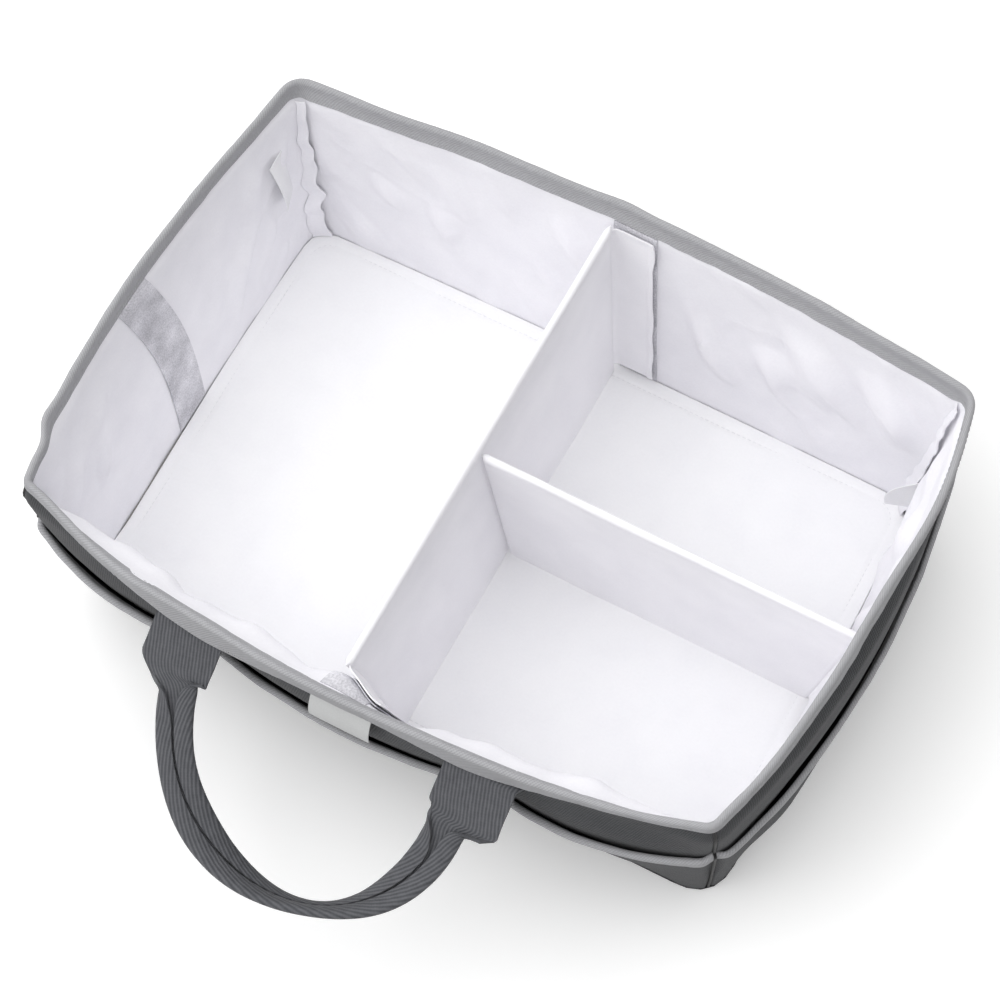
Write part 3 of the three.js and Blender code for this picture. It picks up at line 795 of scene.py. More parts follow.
def rim_leg(share):
    """The tape's outer leg, which is turned up short on the right and at the near corners."""
    side, station = rim_place(share)
    if side == "front":
        left = mix(RIM_SHORT_LEG, RIM_LEG, smooth(station, -0.02, 0.25))
        return mix(left, RIM_SHORT_LEG, smooth(station, 0.72, 0.95))
    if side == "right":
        return RIM_SHORT_LEG
    if side == "back":
        return mix(RIM_SHORT_LEG, RIM_LEG, smooth(station, 0, 0.3))
    return mix(RIM_LEG, RIM_SHORT_LEG, smooth(station, 0.7, 1))


def rim_inner_leg(share):
    side, station = rim_place(share)
    index = SIDES.index(side)
    before = RIM_INNER_LEG[SIDES[index - 1]]
    after = RIM_INNER_LEG[SIDES[(index + 1) % 4]]
    own = RIM_INNER_LEG[side]
    entered = mix((before + own) / 2, own, smooth(station, -1, 0.25))
    return mix(entered, (own + after) / 2, smooth(station, 0.75, 2))


# %% Fold the tape over the rim
def rim_tape_place(u, v):
    leg = rim_leg(u)
    drop, crown, face = fold_over(v, leg, rim_inner_leg(u), RIM_RADIUS)
    flat = rim_point(u, RIM_HEIGHT, 0)
    wave = slow_wave(flat, 9 * MM) * 0.5 * MM * smooth(drop, 0, leg)
    swell = pucker(flat, 0.22 * MM) * abs(face)
    z = RIM_FOLD_Z - drop + crown * RIM_RADIUS + wave
    if face == 1:
        swell += rim_flare(u) * (drop / leg)
    if face == -1:
        swell += LINER_TOP - liner_rest(z)
    return rim_point(u, z, RIM_MIDDLE + face * RIM_RADIUS + face * swell)


rim_tape = cut_cloth("rim_tape", 560, 26)
rim_width = RIM_LEG + RIM_INNER_LEG["back"] + math.pi * RIM_RADIUS
lay(rim_tape, rim_tape_place, RIM_RUN, rim_width)
close_seams(rim_tape)
thicken(rim_tape, TAPE * 0.9)
finish(rim_tape, binding_twill, "binding_tape", "rim_binding")
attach(rim_tape, "box")
print("rim tape", round(RIM_RUN, 3), "m long")

# %% [markdown]
# ## Lining
# The white lining hangs a little loose inside the boards. It is drawn tight behind the tapes, bags out
# below the front rim, and gathers into fins at the corner seams.

# %% Lining walls
LINER_CLOTH = 0.7 * MM
DIVIDER_X = 5.5 * MM
HALF_DIVIDER_Y = -4.5 * MM
TAPE_MIDDLE = 13.4 * MM
LEFT_TAPE_Y = -13.5 * MM
# The slack roll of lining below the front rim: depth, middle and spread by height, and where it ends
FRONT_BAG = 12 * MM
BAG_MIDDLE = 0.81
BAG_SPREAD = 0.09
BAG_FADE = (120 * MM, 131 * MM)
CROSS_TOP = 130 * MM
DIVIDER_LEAN = -7 * MM
FRONT_SLANT = 9 * MM
PULL_REACH = 26 * MM
PULL_FADE = (122 * MM, 134 * MM)
# Folds of the loose cloth: depth, spacing and how far they lean over with their height
FOLD_DEPTH = 10 * MM
FOLD_WAVE = 20 * MM
FOLD_LEAN = 0.5
FOLD_STRETCH = 0.35
# Fine creases between them: height, spacing and how narrow they are
RIDGE_DEPTH = 0.6 * MM
RIDGE_WAVE = 38 * MM
RIDGE_NARROW = 0.07
# Distances from the middle of a tape where the cloth starts to be loose, and is
LOOSE_BESIDE_TAPE = (19 * MM, 45 * MM)
LOOSE_FROM_CORNER = 30 * MM


def drift(z):
    return DIVIDER_LEAN * (z - FLOOR_TOP) / (CROSS_TOP - FLOOR_TOP)


def front_slant(z):
    return FRONT_SLANT * smooth(z, 20 * MM, 120 * MM)


def front_pull(x, z):
    """The hook tape draws the front lining in to the divider's slanted end."""
    away = abs(x - DIVIDER_X - drift(z))
    return front_slant(z) * (1 - smooth(away, 0, PULL_REACH)) * (1 - smooth(z, *PULL_FADE))


# %% Folds of the lining
def beside_tape(side, point):
    centres = {
        "front": DIVIDER_X + TAPE_MIDDLE - 3 * MM,
        "back": DIVIDER_X + TAPE_MIDDLE - 3 * MM,
        "right": HALF_DIVIDER_Y - TAPE_MIDDLE,
        "left": LEFT_TAPE_Y,
    }
    place = (point.x if side in ("front", "back") else point.y) - centres[side]
    return smooth(abs(place), *LOOSE_BESIDE_TAPE)


def front_bag(x, z):
    hang = math.exp(-((z / RIM_HEIGHT - BAG_MIDDLE) / BAG_SPREAD) ** 2) * (1 - smooth(z, *BAG_FADE))
    return FRONT_BAG * hang * (0.65 + 0.45 * slow_wave(Vector((x, 0, 0)), 37 * MM))


def liner_wrinkle(side, share, point):
    rise = point.z / RIM_HEIGHT
    middle = math.sin(min(max(rise, 0), 1) * math.pi)
    loose = beside_tape(side, point) * smooth(min(share, 1 - share) * wall_run(side), 0, LOOSE_FROM_CORNER)
    lean = FOLD_LEAN * point.z
    leaning = Vector((point.x + lean, point.y - lean, FOLD_STRETCH * point.z))
    folds = max(slow_wave(leaning, FOLD_WAVE), 0)
    ridge = 1 - min(abs(slow_wave(point, RIDGE_WAVE)) / RIDGE_NARROW, 1)
    depth = loose * middle * (FOLD_DEPTH * folds + RIDGE_DEPTH * ridge)
    if side == "front":
        depth += front_bag(point.x, point.z) * loose + front_pull(point.x, point.z)
    return liner_rest(point.z) - depth


for side in SIDES:
    liner = wall_cloth(f"{side}_lining", side, 0, LINER_CLOTH * 0.9, liner_wrinkle, (150, 70))
    finish(liner, lining, "liner_cloth", f"{side}_liner")
    wall_run(side)
    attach(liner, "box")
print("four lining walls")

# %% [markdown]
# Where two lining walls meet, the seam allowance stands up as a soft, crumpled fin down the corner.

# %% Fins in the lining corners
FIN_WIDTH = 10 * MM
FIN_TOP = 130 * MM
FIN_STAND = 3.4 * MM
FIN_TURN = 1.1


def corner_point(index, turn, z, offset):
    """A point by its turn round the corner after a side, from -1 to 1."""
    if turn < 0:
        return wall_point(SIDES[index], 2 + turn, z, offset)
    return wall_point(SIDES[(index + 1) % 4], turn - 1, z, offset)


fin_size = (FIN_WIDTH, FIN_TOP - FLOOR_TOP)
for index, side in enumerate(SIDES):

    def fin_place(u, v):
        z = mix(FLOOR_TOP + MM, FIN_TOP, v)
        crumple = slow_wave(Vector((0, 0, z + index)), 13 * MM)
        stand = FIN_STAND * math.sin(math.pi * mix(0.28, 1, u)) ** 0.6 * (0.8 + 0.7 * crumple)
        turn = (u - 0.5) * FIN_TURN + 0.5 * crumple
        return corner_point(index, turn, z, liner_rest(z) - LINER_CLOTH - stand)

    fin = make_cloth(f"{side}_corner_fin", (12, 60), fin_place, fin_size, LINER_CLOTH * 0.9)
    finish(fin, lining, "liner_cloth")
    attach(fin, "box")
print("four corner fins")

# %% [markdown]
# ## Base and floor
# The base is a flat twill panel. It starts as a circle whose points are moved onto the box's outline, and
# gets its sewn edge by insetting. The floor inside is a separate padded board with a stitched border and
# round corners.

# %% Base
BASE_STEPS = 260
BASE_MIDDLE = 0.5 * MM
BASE_OFFSET = 1.6 * MM
BASE_CLOTH = 0.6 * MM
# Width and depth of the base's sewn edge, and of the step back up to the flat panel
BASE_INSETS = ((6 * MM, -0.2 * MM), (1 * MM, 0.2 * MM))


def flat_uv(piece):
    if not piece.data.uv_layers:
        piece.data.uv_layers.new(name="UVMap")
    for corner, data in zip(piece.data.loops, piece.data.uv_layers.active.data):
        data.uv = piece.data.vertices[corner.vertex_index].co.xy


bpy.ops.object.select_all(action="DESELECT")
bpy.ops.mesh.primitive_circle_add(vertices=BASE_STEPS, radius=0.1, fill_type="NGON")
base = bpy.context.object
base.name = "base_shell"
for i, vertex in enumerate(base.data.vertices):
    vertex.co = rim_point(i / BASE_STEPS, BASE_MIDDLE, BASE_OFFSET)
open_mesh(base)
bpy.ops.mesh.flip_normals()
for width, depth in BASE_INSETS:
    bpy.ops.mesh.inset(thickness=width, depth=depth, use_boundary=True)
close_mesh()
flat_uv(base)
thicken(base, BASE_CLOTH, -1)
finish(base, shell_twill, "shell_cloth", "outer_base_panel")
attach(base, "box")
paint(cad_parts["base_board"], greyboard)
print("base panel")

# %% [markdown]
# The pad's grid goes round that outline once, so its first and last columns are merged. Its rows run in
# from the edge to a spine along the middle, close together where the edge is round and the border is
# sewn, and the slit that is left along the spine is filled.

# %% Floor pad
PAD_EDGE = -4.45 * MM
PAD_LEFT_GAP = 1.3 * MM
PAD_BOTTOM = 4.4 * MM
PAD_TOP = 6.0 * MM
PAD_ROUND = 0.8 * MM
PAD_BORDER = 8 * MM
# The groove that the border's stitches pull in, and the soft waves of the padding inside it
GROOVE_WIDTH = 0.9 * MM
GROOVE_DEPTH = 0.55 * MM
QUILT = 0.25 * MM
QUILT_WAVE = 35 * MM
# Half the length of the pad's spine, in metres
SPINE = 0.06


def pad_height(inside):
    edge = min(inside / PAD_ROUND, 1)
    crown = math.sqrt(max(1 - (1 - edge) ** 2, 0))
    groove = math.exp(-((inside - PAD_BORDER) / GROOVE_WIDTH) ** 2)
    return mix(PAD_BOTTOM, PAD_TOP, crown) - GROOVE_DEPTH * groove


def pad_ray(u):
    """Where the pad's edge is, and the way from there to the pad's spine."""
    side, station = rim_place(u)
    gap = PAD_LEFT_GAP * smooth(station, 0.3, 0.8) * (1 - smooth(station, 0.9, 1)) if side == "left" else 0
    rim = rim_point(u, PAD_BOTTOM, PAD_EDGE - gap)
    return rim, Vector((min(max(rim.x, -SPINE), SPINE), 0, rim.z)) - rim


def pad_point(u, inside):
    rim, way = pad_ray(u)
    place = rim + way.normalized() * inside
    quilt = QUILT * slow_wave(place, QUILT_WAVE) * smooth(inside, PAD_BORDER, 3 * PAD_BORDER)
    return Vector((place.x, place.y, pad_height(inside) + quilt))


def pad_place(u, v):
    return pad_point(u, v ** 2.2 * pad_ray(u)[1].length * 0.97)


floor_pad = cut_cloth("floor_pad", 260, 44)
lay(floor_pad, pad_place, 1, 1)
close_seams(floor_pad)
close_hole(floor_pad, lambda: bpy.ops.mesh.fill_holes(sides=0))
flat_uv(floor_pad)
finish(floor_pad, pad_cloth, "floor_cloth", "floor_liner")
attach(floor_pad, "box")
print("floor pad")

# %% [markdown]
# ## Divider insert
# A divider is one cloth folded over a stiff board and closed at its ends and foot. The grid goes up one
# face, over the top and down the other, and the ends narrow to a seam.

# %% Divider covers
HALF_TOP = 124 * MM
DIVIDER_BOTTOM = 6.0 * MM
DIVIDER_HALF = 1.6 * MM
END_REACH = 2.2 * MM
FRONT_END = -8.3 * MM
BACK_END = -8.3 * MM
RIGHT_END = -6.9 * MM
# The board inside: shares of the cover's length and of its way round that it stops short by
CORE_INSET = 0.02
CORE_FOOT = 0.02
CORE_HEAD = 0.475
CORE_THICK = 1.8 * MM
HEM_SWELL = 0.35 * MM
PUFF = 0.3 * MM


def over_board(v, height):
    """Height above the foot, and side of the board from 1 to -1, along one face and down the other."""
    leg = height - DIVIDER_HALF
    run = v * (2 * leg + math.pi * DIVIDER_HALF)
    if run < leg:
        return run, 1
    if run > leg + math.pi * DIVIDER_HALF:
        return 2 * leg + math.pi * DIVIDER_HALF - run, -1
    turn = (run - leg) / DIVIDER_HALF
    return leg + DIVIDER_HALF * math.sin(turn), math.cos(turn)


def end_pinch(from_end):
    near = min(from_end / END_REACH, 1)
    return math.sqrt(max(1 - (1 - near) ** 2, 0))


def to_top(v):
    """Crowds the rows of a divider's cover towards its top edge."""
    return v + 0.7 * math.sin(2 * math.pi * v) / (2 * math.pi)


def hem(z, top):
    return HEM_SWELL * (1 - smooth(top - z, 4 * MM, 5.5 * MM))


def cross_place(u, v):
    up, face = over_board(to_top(v), CROSS_TOP - DIVIDER_BOTTOM)
    z = DIVIDER_BOTTOM + up
    x = DIVIDER_X + drift(z)
    front = side_point("front", x, z, FRONT_END - front_slant(z)).y
    back = side_point("back", -x, z, BACK_END).y
    length = back - front
    y = mix(front, back, u)
    puff = PUFF * slow_wave(Vector((face, y, z * 0.6)), 30 * MM)
    half = (DIVIDER_HALF + puff + hem(z, CROSS_TOP)) * end_pinch(min(u, 1 - u) * length)
    return Vector((x + face * half, y, z))


def half_place(u, v):
    up, face = over_board(to_top(v), HALF_TOP - DIVIDER_BOTTOM)
    z = DIVIDER_BOTTOM + up
    start = DIVIDER_X + DIVIDER_HALF + GAP + drift(z)
    stop = side_point("right", HALF_DIVIDER_Y, z, RIGHT_END).x
    x = mix(start, stop, u)
    puff = PUFF * slow_wave(Vector((x, face, z * 0.6)), 30 * MM)
    half = (DIVIDER_HALF + puff + hem(z, HALF_TOP)) * end_pinch(min(u, 1 - u) * (stop - start))
    return Vector((x, HALF_DIVIDER_Y - face * half, z))


# %% Cut the covers and their boards
for name, place, length, height, body in (
    ("cross_divider", cross_place, 0.245, CROSS_TOP, "insert"),
    ("half_divider", half_place, 0.175, HALF_TOP, "half_divider"),
):
    cover = cut_cloth(f"{name}_cloth", 110, 76)
    lay(cover, place, length, 2 * height)
    close_seams(cover)
    close_hole(cover, bpy.ops.mesh.edge_face_add)
    finish(cover, divider_cloth, "divider_cloth", f"{name}_cover")
    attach(cover, body)

    def core_place(u, v):
        """Halfway between the cover's two faces, from just above its foot to just below its top."""
        along = mix(CORE_INSET, 1 - CORE_INSET, u)
        low = place(along, CORE_FOOT) + place(along, 1 - CORE_FOOT)
        high = place(along, CORE_HEAD) + place(along, 1 - CORE_HEAD)
        return mix(low, high, v) / 2

    core = make_cloth(f"{name}_core", (24, 12), core_place, (length, height), CORE_THICK)
    finish(core, greyboard, "stiff_board", f"{name}_board")
    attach(core, body)
print("two dividers with their boards")

# %% [markdown]
# ## Flaps and tapes
# Each end of the insert carries a flap with hook tape, which grips the loop tape on the lining. The flap
# is the divider's own cloth turned round the end, so it starts inside the divider, bends through a soft
# corner and then lies on the wall. The front flap reaches from the slanted end of the divider out to the
# wall, and its hook tape follows it.

# %% Flaps
FLAP_WIDTH = 21 * MM
FLAP_CLOTH = 0.8 * MM
FLAP_START = 2.9 * MM
FLAP_BOTTOM = 10.6 * MM
FLAP_DROP = 2 * MM
# The turn round the divider's end: its length, how far in it starts, where it ends and how round it is
FLAP_BEND = 4.5 * MM
FLAP_ROOT = 5.5 * MM
FLAP_TURN = 1.6 * MM
FLAP_CURVE = 3.2 * MM
# Share of the flap's width at its fold line, and the stretch beside it, measured out from the fold line
FLAP_FOLD = 0.45
FLAP_BAND = {"back": (-3 * MM, 3 * MM), "front": (1.5 * MM, 11.5 * MM), "end": (-3 * MM, 3 * MM)}
FLAP_SAG = 5.0 * MM
HOOK_MARGIN = {"back": 2 * MM, "front": 2 * MM, "end": 4.5 * MM}
LOOP_MIDDLE = -4.8 * MM
TAPE_CLOTH = 0.6 * MM
FLAP_HEM = 0.6 * MM
# Wall, height of the divider, offsets of the flap and its hook tape from the wall, and its divider's body
flap_facts = {
    "back": ("back", CROSS_TOP, -7.0 * MM, -5.8 * MM, "insert"),
    "front": ("front", CROSS_TOP, -7.0 * MM, -5.8 * MM, "insert"),
    "end": ("right", HALF_TOP, -6.2 * MM, -5.4 * MM, "half_divider"),
}


def flap_place_along(side, run, z):
    """Place along the wall, run metres out from the divider's middle."""
    if side == "front":
        return DIVIDER_X + drift(z) + run
    if side == "back":
        return -(DIVIDER_X + drift(z) + run)
    return HALF_DIVIDER_Y - run


def bend(start, start_way, end, end_way, reach, t):
    a = start + start_way * reach
    b = end - end_way * reach
    first = start * (1 - t) ** 3 + a * (3 * t * (1 - t) ** 2)
    return first + b * (3 * t * t * (1 - t)) + end * t ** 3


def flap_lie(side, along, z, offset):
    slant = front_slant(z) if side == "front" else 0
    away = slant * (1 - smooth(along, 0, FLAP_START + FLAP_WIDTH))
    return side_point(side, flap_place_along(side, along, z), z, offset - away)


def flap_point(side, u, z, offset):
    """A point of the flap: first round the divider's corner, then out along the wall."""
    total = FLAP_WIDTH + 2 * FLAP_BEND
    run = u * total
    corner = 2 * FLAP_BEND
    turn_out = FLAP_START + FLAP_TURN
    if run > corner:
        share = (run - corner) / (total - corner)
        return flap_lie(side, mix(turn_out, FLAP_START + FLAP_WIDTH, share), z, offset)
    end = flap_lie(side, turn_out, z, offset)
    ahead = flap_lie(side, turn_out + MM, z, offset)
    start = flap_lie(side, 0, z, offset - FLAP_ROOT)
    wall = flap_lie(side, 0, z, offset)
    inward = (wall - start).normalized()
    outward = (ahead - end).normalized()
    return bend(start, inward, end, outward, FLAP_CURVE, run / corner)


def flap_band(name, side, high, offset):
    """Start and end of a stretch out from the fold line and square to it."""
    hinge = flap_point(side, FLAP_FOLD, FLAP_BOTTOM, offset)
    crest = flap_point(side, FLAP_FOLD, high, offset)
    out = (flap_point(side, 1, FLAP_BOTTOM, offset) - hinge).normalized()
    axis = (crest - hinge).normalized()
    out = (out - axis * out.dot(axis)).normalized()
    return [hinge + out * reach for reach in FLAP_BAND[name]]


# %% Cut the flaps and their hook tape
for name, (side, top, offset, hook_offset, carrier) in flap_facts.items():
    high = top - FLAP_DROP
    flap_size = (FLAP_WIDTH + 2 * FLAP_BEND, high - FLAP_BOTTOM)

    def flap_place(u, v):
        z = mix(FLAP_BOTTOM, high, v)
        from_edge = min((1 - u) * FLAP_WIDTH, high - z)
        rolled = FLAP_HEM * (1 - smooth(from_edge, 1.8 * MM, 3 * MM))
        if side == "right":
            return flap_point(side, u, z, mix(offset - rolled, LOOP_MIDDLE, smooth(u, 0.8, 1)))
        sag = FLAP_SAG * smooth(u, 0.5, 1) * slow_wave(Vector((0, 0, z)), 26 * MM)
        return flap_point(side, u, z, offset - rolled) + Vector((sag, 0, 0))

    flap = make_cloth(f"{name}_flap_cloth", (40, 90), flap_place, flap_size, FLAP_CLOTH * 0.9)
    finish(flap, divider_cloth, "divider_cloth", f"{name}_flap")
    band = flap_band(name, side, high, offset)
    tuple(band[0])
    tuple(band[1])
    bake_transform(flap)

    margin = HOOK_MARGIN[name]
    hook_low = FLAP_BOTTOM + margin
    hook_high = high - margin
    hook_size = (FLAP_WIDTH - 2 * margin, hook_high - hook_low)

    def hook_place(u, v):
        z = mix(hook_low, hook_high, v)
        along = mix(FLAP_START + margin, FLAP_START + FLAP_WIDTH - margin, u)
        return flap_lie(side, along, z, hook_offset)

    hook = make_cloth(f"{name}_hook", (12, 40), hook_place, hook_size, TAPE_CLOTH * 0.9)
    finish(hook, moulded_hook, "hook_tape", f"{name}_hook_tape")
    if name == "front":
        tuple(band[0])
        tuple(band[1])
        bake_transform(hook)
    else:
        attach(hook, f"{name}_flap")
print("three flaps with hook tape")

# %% Loop tapes on the lining
LOOP_WIDTH = by_side(25, 17, 25, 25)
LOOP_BOTTOM = 5.9 * MM
LOOP_TOP = by_side(131, 118, 129, 131.8)
LOOP_SHIFT = {"front": -7.5 * MM, "back": -1.0 * MM}
LEFT_TAPE_BEND = 7 * MM


def loop_middle(side, z):
    if side == "left":
        rise = (z - LOOP_BOTTOM) / (LOOP_TOP[side] - LOOP_BOTTOM)
        return -LEFT_TAPE_Y - LEFT_TAPE_BEND * math.sin(math.pi * rise)
    return flap_place_along(side, TAPE_MIDDLE + LOOP_SHIFT.get(side, 0), z)


for side in SIDES:
    loop_size = (LOOP_WIDTH[side], LOOP_TOP[side] - LOOP_BOTTOM)

    def loop_place(u, v):
        z = mix(LOOP_BOTTOM, LOOP_TOP[side], v)
        place = loop_middle(side, z) + (u - 0.5) * LOOP_WIDTH[side]
        flat = side_point(side, place, z, 0)
        pull = front_pull(flat.x, z) if side == "front" else 0
        return side_point(side, place, z, LOOP_MIDDLE + liner_rest(z) - LINER_MIDDLE - pull)

    loop = make_cloth(f"{side}_loop", (14, 60), loop_place, loop_size, TAPE_CLOTH * 0.9)
    finish(loop, brushed_loop, "loop_tape", f"{side}_loop_tape")
    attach(loop, "box")
print("four loop tapes")

# %% [markdown]
# ## Handles
# A handle is one length of webbing. Each end is sewn flat to the wall, goes up under the rim and folds
# over. Further along, both edges are folded in until they meet, and a seam holds them as a rounded grip.
# The fold starts early on the outside and late on the inside, which is what gives the grip its shoulder.
# The front grip hangs out over the floor with its seam turning under. The back one hangs at its wall.

# %% Webbing handles
WEBBING = 38 * MM
WEBBING_CLOTH = 1.6 * MM
HANDLE_REACH = 103 * MM
HANDLE_FLAT = 21 * MM
GRIP_SPAN = 150 * MM
STEP_IN = (12 * MM, 30 * MM)
TAB_LENGTH = 45 * MM
TAB_OFFSET = 1.1 * MM
TAB_SHIFT = 3 * MM
FOLD_Z = 125.2 * MM
FOLD_OFFSET = 3.5 * MM
ROLL = 5.5 * MM
CREASE = 7.9 * MM
LIP_RADIUS = 1.3 * MM
LIP_START = 50 * MM
SEAM_SIDE = -2.4 * MM
GRIP_TWIST = math.radians(92)
TWIST_IN = (0.2, 0.58)
TWIST_OUT = (0.58, 0.88)
# Distances from the handle's end where each edge begins and ends to fold in, and its lip to be drawn in
EARLY_FOLD = (19 * MM, 34 * MM)
EARLY_LIP = (27 * MM, 51 * MM)
LATE_FOLD = (25 * MM, 28.5 * MM)
LATE_LIP = (25.5 * MM, 38.5 * MM)


def step_in(out):
    """How far the grip has moved inwards from the middle of its flat end."""
    return (HANDLE_SPACING - GRIP_SPAN) / 2 * smooth(out, *STEP_IN)


def grip_line(sway):
    half = HANDLE_SPACING / 2
    flat = [Vector((half - step_in(out), -out)) for out in (HANDLE_FLAT * i / 12 for i in range(12))]
    points = [Vector((-place.x, place.y)) for place in flat]
    for i in range(121):
        angle = math.pi * (1 - i / 120)
        rise = math.sin(angle)
        out = HANDLE_FLAT + (HANDLE_REACH - HANDLE_FLAT) * rise
        points.append(Vector(((half - step_in(out)) * math.cos(angle) + sway * rise, -out)))
    return points + flat[::-1]


def even_line(points, count):
    runs = [0]
    for a, b in zip(points, points[1:]):
        runs.append(runs[-1] + (b - a).length)
    even = []
    index = 0
    for i in range(count + 1):
        run = runs[-1] * i / count
        while index < len(points) - 2 and runs[index + 1] < run:
            index += 1
        share = (run - runs[index]) / (runs[index + 1] - runs[index])
        even.append(points[index].lerp(points[index + 1], share))
    return even, runs[-1]


# %% Folding the webbing into a grip
def early_fold(from_end):
    """How far the early edge is folded in, and how much of its lip shows."""
    drawn = math.sin(part_way(from_end, *EARLY_LIP) * math.pi / 2)
    return smooth(from_end, *EARLY_FOLD), drawn


def late_fold(from_end):
    left = 1 - part_way(from_end, *LATE_LIP)
    return smooth(from_end, *LATE_FOLD), math.sqrt(1 - left * left)


def lip_section(across, from_end, first):
    """Place across the grip and height above it, for a point of the flat webbing."""
    half = WEBBING / 2
    late = (across > 0) == first
    closed, drawn = late_fold(from_end) if late else early_fold(from_end)
    crease = mix(half, CREASE, closed)
    beyond = (abs(across) - crease) * mix(0.15, 1, drawn)
    if beyond <= 0:
        return across, 0
    turn = min(beyond / LIP_RADIUS, math.pi)
    back = max(beyond - math.pi * LIP_RADIUS, 0)
    wide = crease + LIP_RADIUS * math.sin(turn) - back
    puff = 0.5 * MM * math.sin(math.pi * min(back / (7 * MM), 1))
    return math.copysign(wide, across), LIP_RADIUS * (1 - math.cos(turn)) + puff


# %% Laying the webbing
GRIP_STEPS = 200


def make_handle(side, droop, sway):
    line, loop_run = even_line(grip_line(sway), GRIP_STEPS)
    middle = chord(side, FOLD_Z)[0]
    centre = middle.dot(chord(side, 0)[1])
    inner_edge = side_point(side, centre + (HANDLE_SPACING - WEBBING) / 2, FOLD_Z, FOLD_OFFSET)
    turn = Matrix.Rotation(math.pi if side == "back" else 0, 4, "Z") @ Matrix.Rotation(droop, 4, "X")
    stand = Matrix.Translation((middle.x, inner_edge.y, FOLD_Z)) @ turn
    total = loop_run + 2 * (TAB_LENGTH + ROLL)

    def loop_point(across, run, above=0):
        at = min(max(run / loop_run, 0), 1) * GRIP_STEPS
        index = min(int(at), GRIP_STEPS - 1)
        here = line[index].lerp(line[index + 1], at - index)
        low = line[max(index - 3, 0)]
        high = line[min(index + 4, GRIP_STEPS)]
        along = (high - low).normalized()
        first = run < loop_run / 2
        from_end = min(run, loop_run - run)
        wide, up = lip_section(across, from_end, first)
        inner, outer = late_fold(from_end)[0], early_fold(from_end)[0]
        if not first:
            inner, outer = outer, inner
        closed = mix(outer, inner, across / WEBBING + 0.5)
        gone = run / loop_run
        twist = GRIP_TWIST * smooth(gone, *TWIST_IN) * (1 - smooth(gone, *TWIST_OUT))
        wide, up = Matrix.Rotation(-twist, 2) @ Vector((wide, up + above))
        straight = Vector((1 if first else -1, 0))
        sidewise = straight.lerp(Vector((-along.y, along.x)), closed).normalized()
        place = here + sidewise * wide - straight * step_in(from_end) * (1 - closed)
        return stand @ Vector((place.x, place.y, up))

    def place(u, v):
        across = (u - 0.5) * WEBBING
        run = v * total
        first = run < total / 2
        from_end = min(run, total - run)
        if from_end >= TAB_LENGTH + ROLL:
            return loop_point(across, run - TAB_LENGTH - ROLL)
        reach = -HANDLE_SPACING / 2 + across if first else HANDLE_SPACING / 2 - across
        tab = centre + reach + TAB_SHIFT
        if from_end <= TAB_LENGTH:
            z = FOLD_Z - 2 * MM - TAB_LENGTH + from_end
            return side_point(side, tab, z, TAB_OFFSET)
        low = side_point(side, tab, FOLD_Z - 2 * MM, TAB_OFFSET)
        end = loop_point(across, 0 if first else loop_run)
        ahead = loop_point(across, 2 * MM if first else loop_run - 2 * MM)
        share = (from_end - TAB_LENGTH) / ROLL
        return bend(low, Vector((0, 0, 1)), end, (ahead - end).normalized(), 2.2 * MM, share)

    handle = make_cloth(f"{side}_webbing", (38, 330), place, (WEBBING, total), WEBBING_CLOTH)
    tabs = [f"{side}_{end}_handle_tab" for end in ("left", "right")]
    finish(handle, webbing_twill, "webbing", f"{side}_handle", *tabs)
    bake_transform(handle)
    print(side, "handle webbing", round(total, 3), "m")
    seam_shadow = [LIP_START + (loop_run - 2 * LIP_START) * i / 160 for i in range(161)]
    lip = 2 * LIP_RADIUS + WEBBING_CLOTH / 2
    return [loop_point(SEAM_SIDE, run, lip) for run in seam_shadow]


grip_routes = {
    "front": make_handle("front", math.radians(31), 6 * MM),
    "back": make_handle("back", math.radians(74), 0),
}

# %% [markdown]
# ## Labels
# A small woven label is caught under the front binding, and two thin care labels hang from the back
# corner seams. All three are left blank.

# %% Labels
LABEL_CLOTH = 0.6 * MM
FRONT_LABEL = (33 * MM, 18 * MM)
CARE_LABEL = (17 * MM, 40 * MM)
LABEL_TOP = 126.4 * MM
CARE_BOTTOM = {"left": 66 * MM, "right": 40 * MM}
CARE_EDGE = {"left": 107 * MM, "right": 102 * MM}
LABEL_STAND = 10 * MM
CARE_OFFSET = -5.2 * MM
CARE_STAND = {"left": 7 * MM, "right": 16 * MM}
CARE_LIE = {"left": 0.75, "right": 0.2}


def front_label_place(u, v):
    z = LABEL_TOP - FRONT_LABEL[1] * (1 - v)
    stand = LABEL_STAND * math.sin((1 - v) * math.pi / 2)
    return side_point("front", DIVIDER_X + (u - 0.5) * FRONT_LABEL[0], z, 0.7 * MM + stand)


front_label = make_cloth("blank_front_label", (16, 10), front_label_place, FRONT_LABEL, LABEL_CLOTH)
finish(front_label, label_satin, "label_cloth", "front_label")
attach(front_label, "box")

for side, towards in (("left", -1), ("right", 1)):

    def care_place(u, v):
        z = CARE_BOTTOM[side] + CARE_LABEL[1] * v
        free = 1 - u
        curl = CARE_STAND[side] * free * (0.35 + 0.65 * math.sin(math.pi * (1 - v) * 0.7))
        place = towards * (CARE_EDGE[side] - CARE_LIE[side] * CARE_LABEL[0] * free)
        return side_point(side, place, z, CARE_OFFSET - curl)

    care = make_cloth(f"{side}_blank_care_label", (14, 24), care_place, CARE_LABEL, LABEL_CLOTH * 0.7)
    finish(care, care_satin, "label_cloth", f"{side}_care_label")
    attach(care, "box")
print("three blank labels")

# %% [markdown]
# ## Stitches
# A row of lockstitch is a string of short, rounded bars with a small gap between them. One bar is modelled
# and repeated along a route by an Array and a Curve modifier, which is how a sewing line is laid. The
# corner seams show as one near-black line each, painted shade for the deep shadow in the seam groove,
# which runs up the pocket, over its tape and up the wall.

# %% Sewing
STITCH_PITCH = 3.2 * MM
STITCH_LENGTH = 2.5 * MM
THREAD = 0.55 * MM


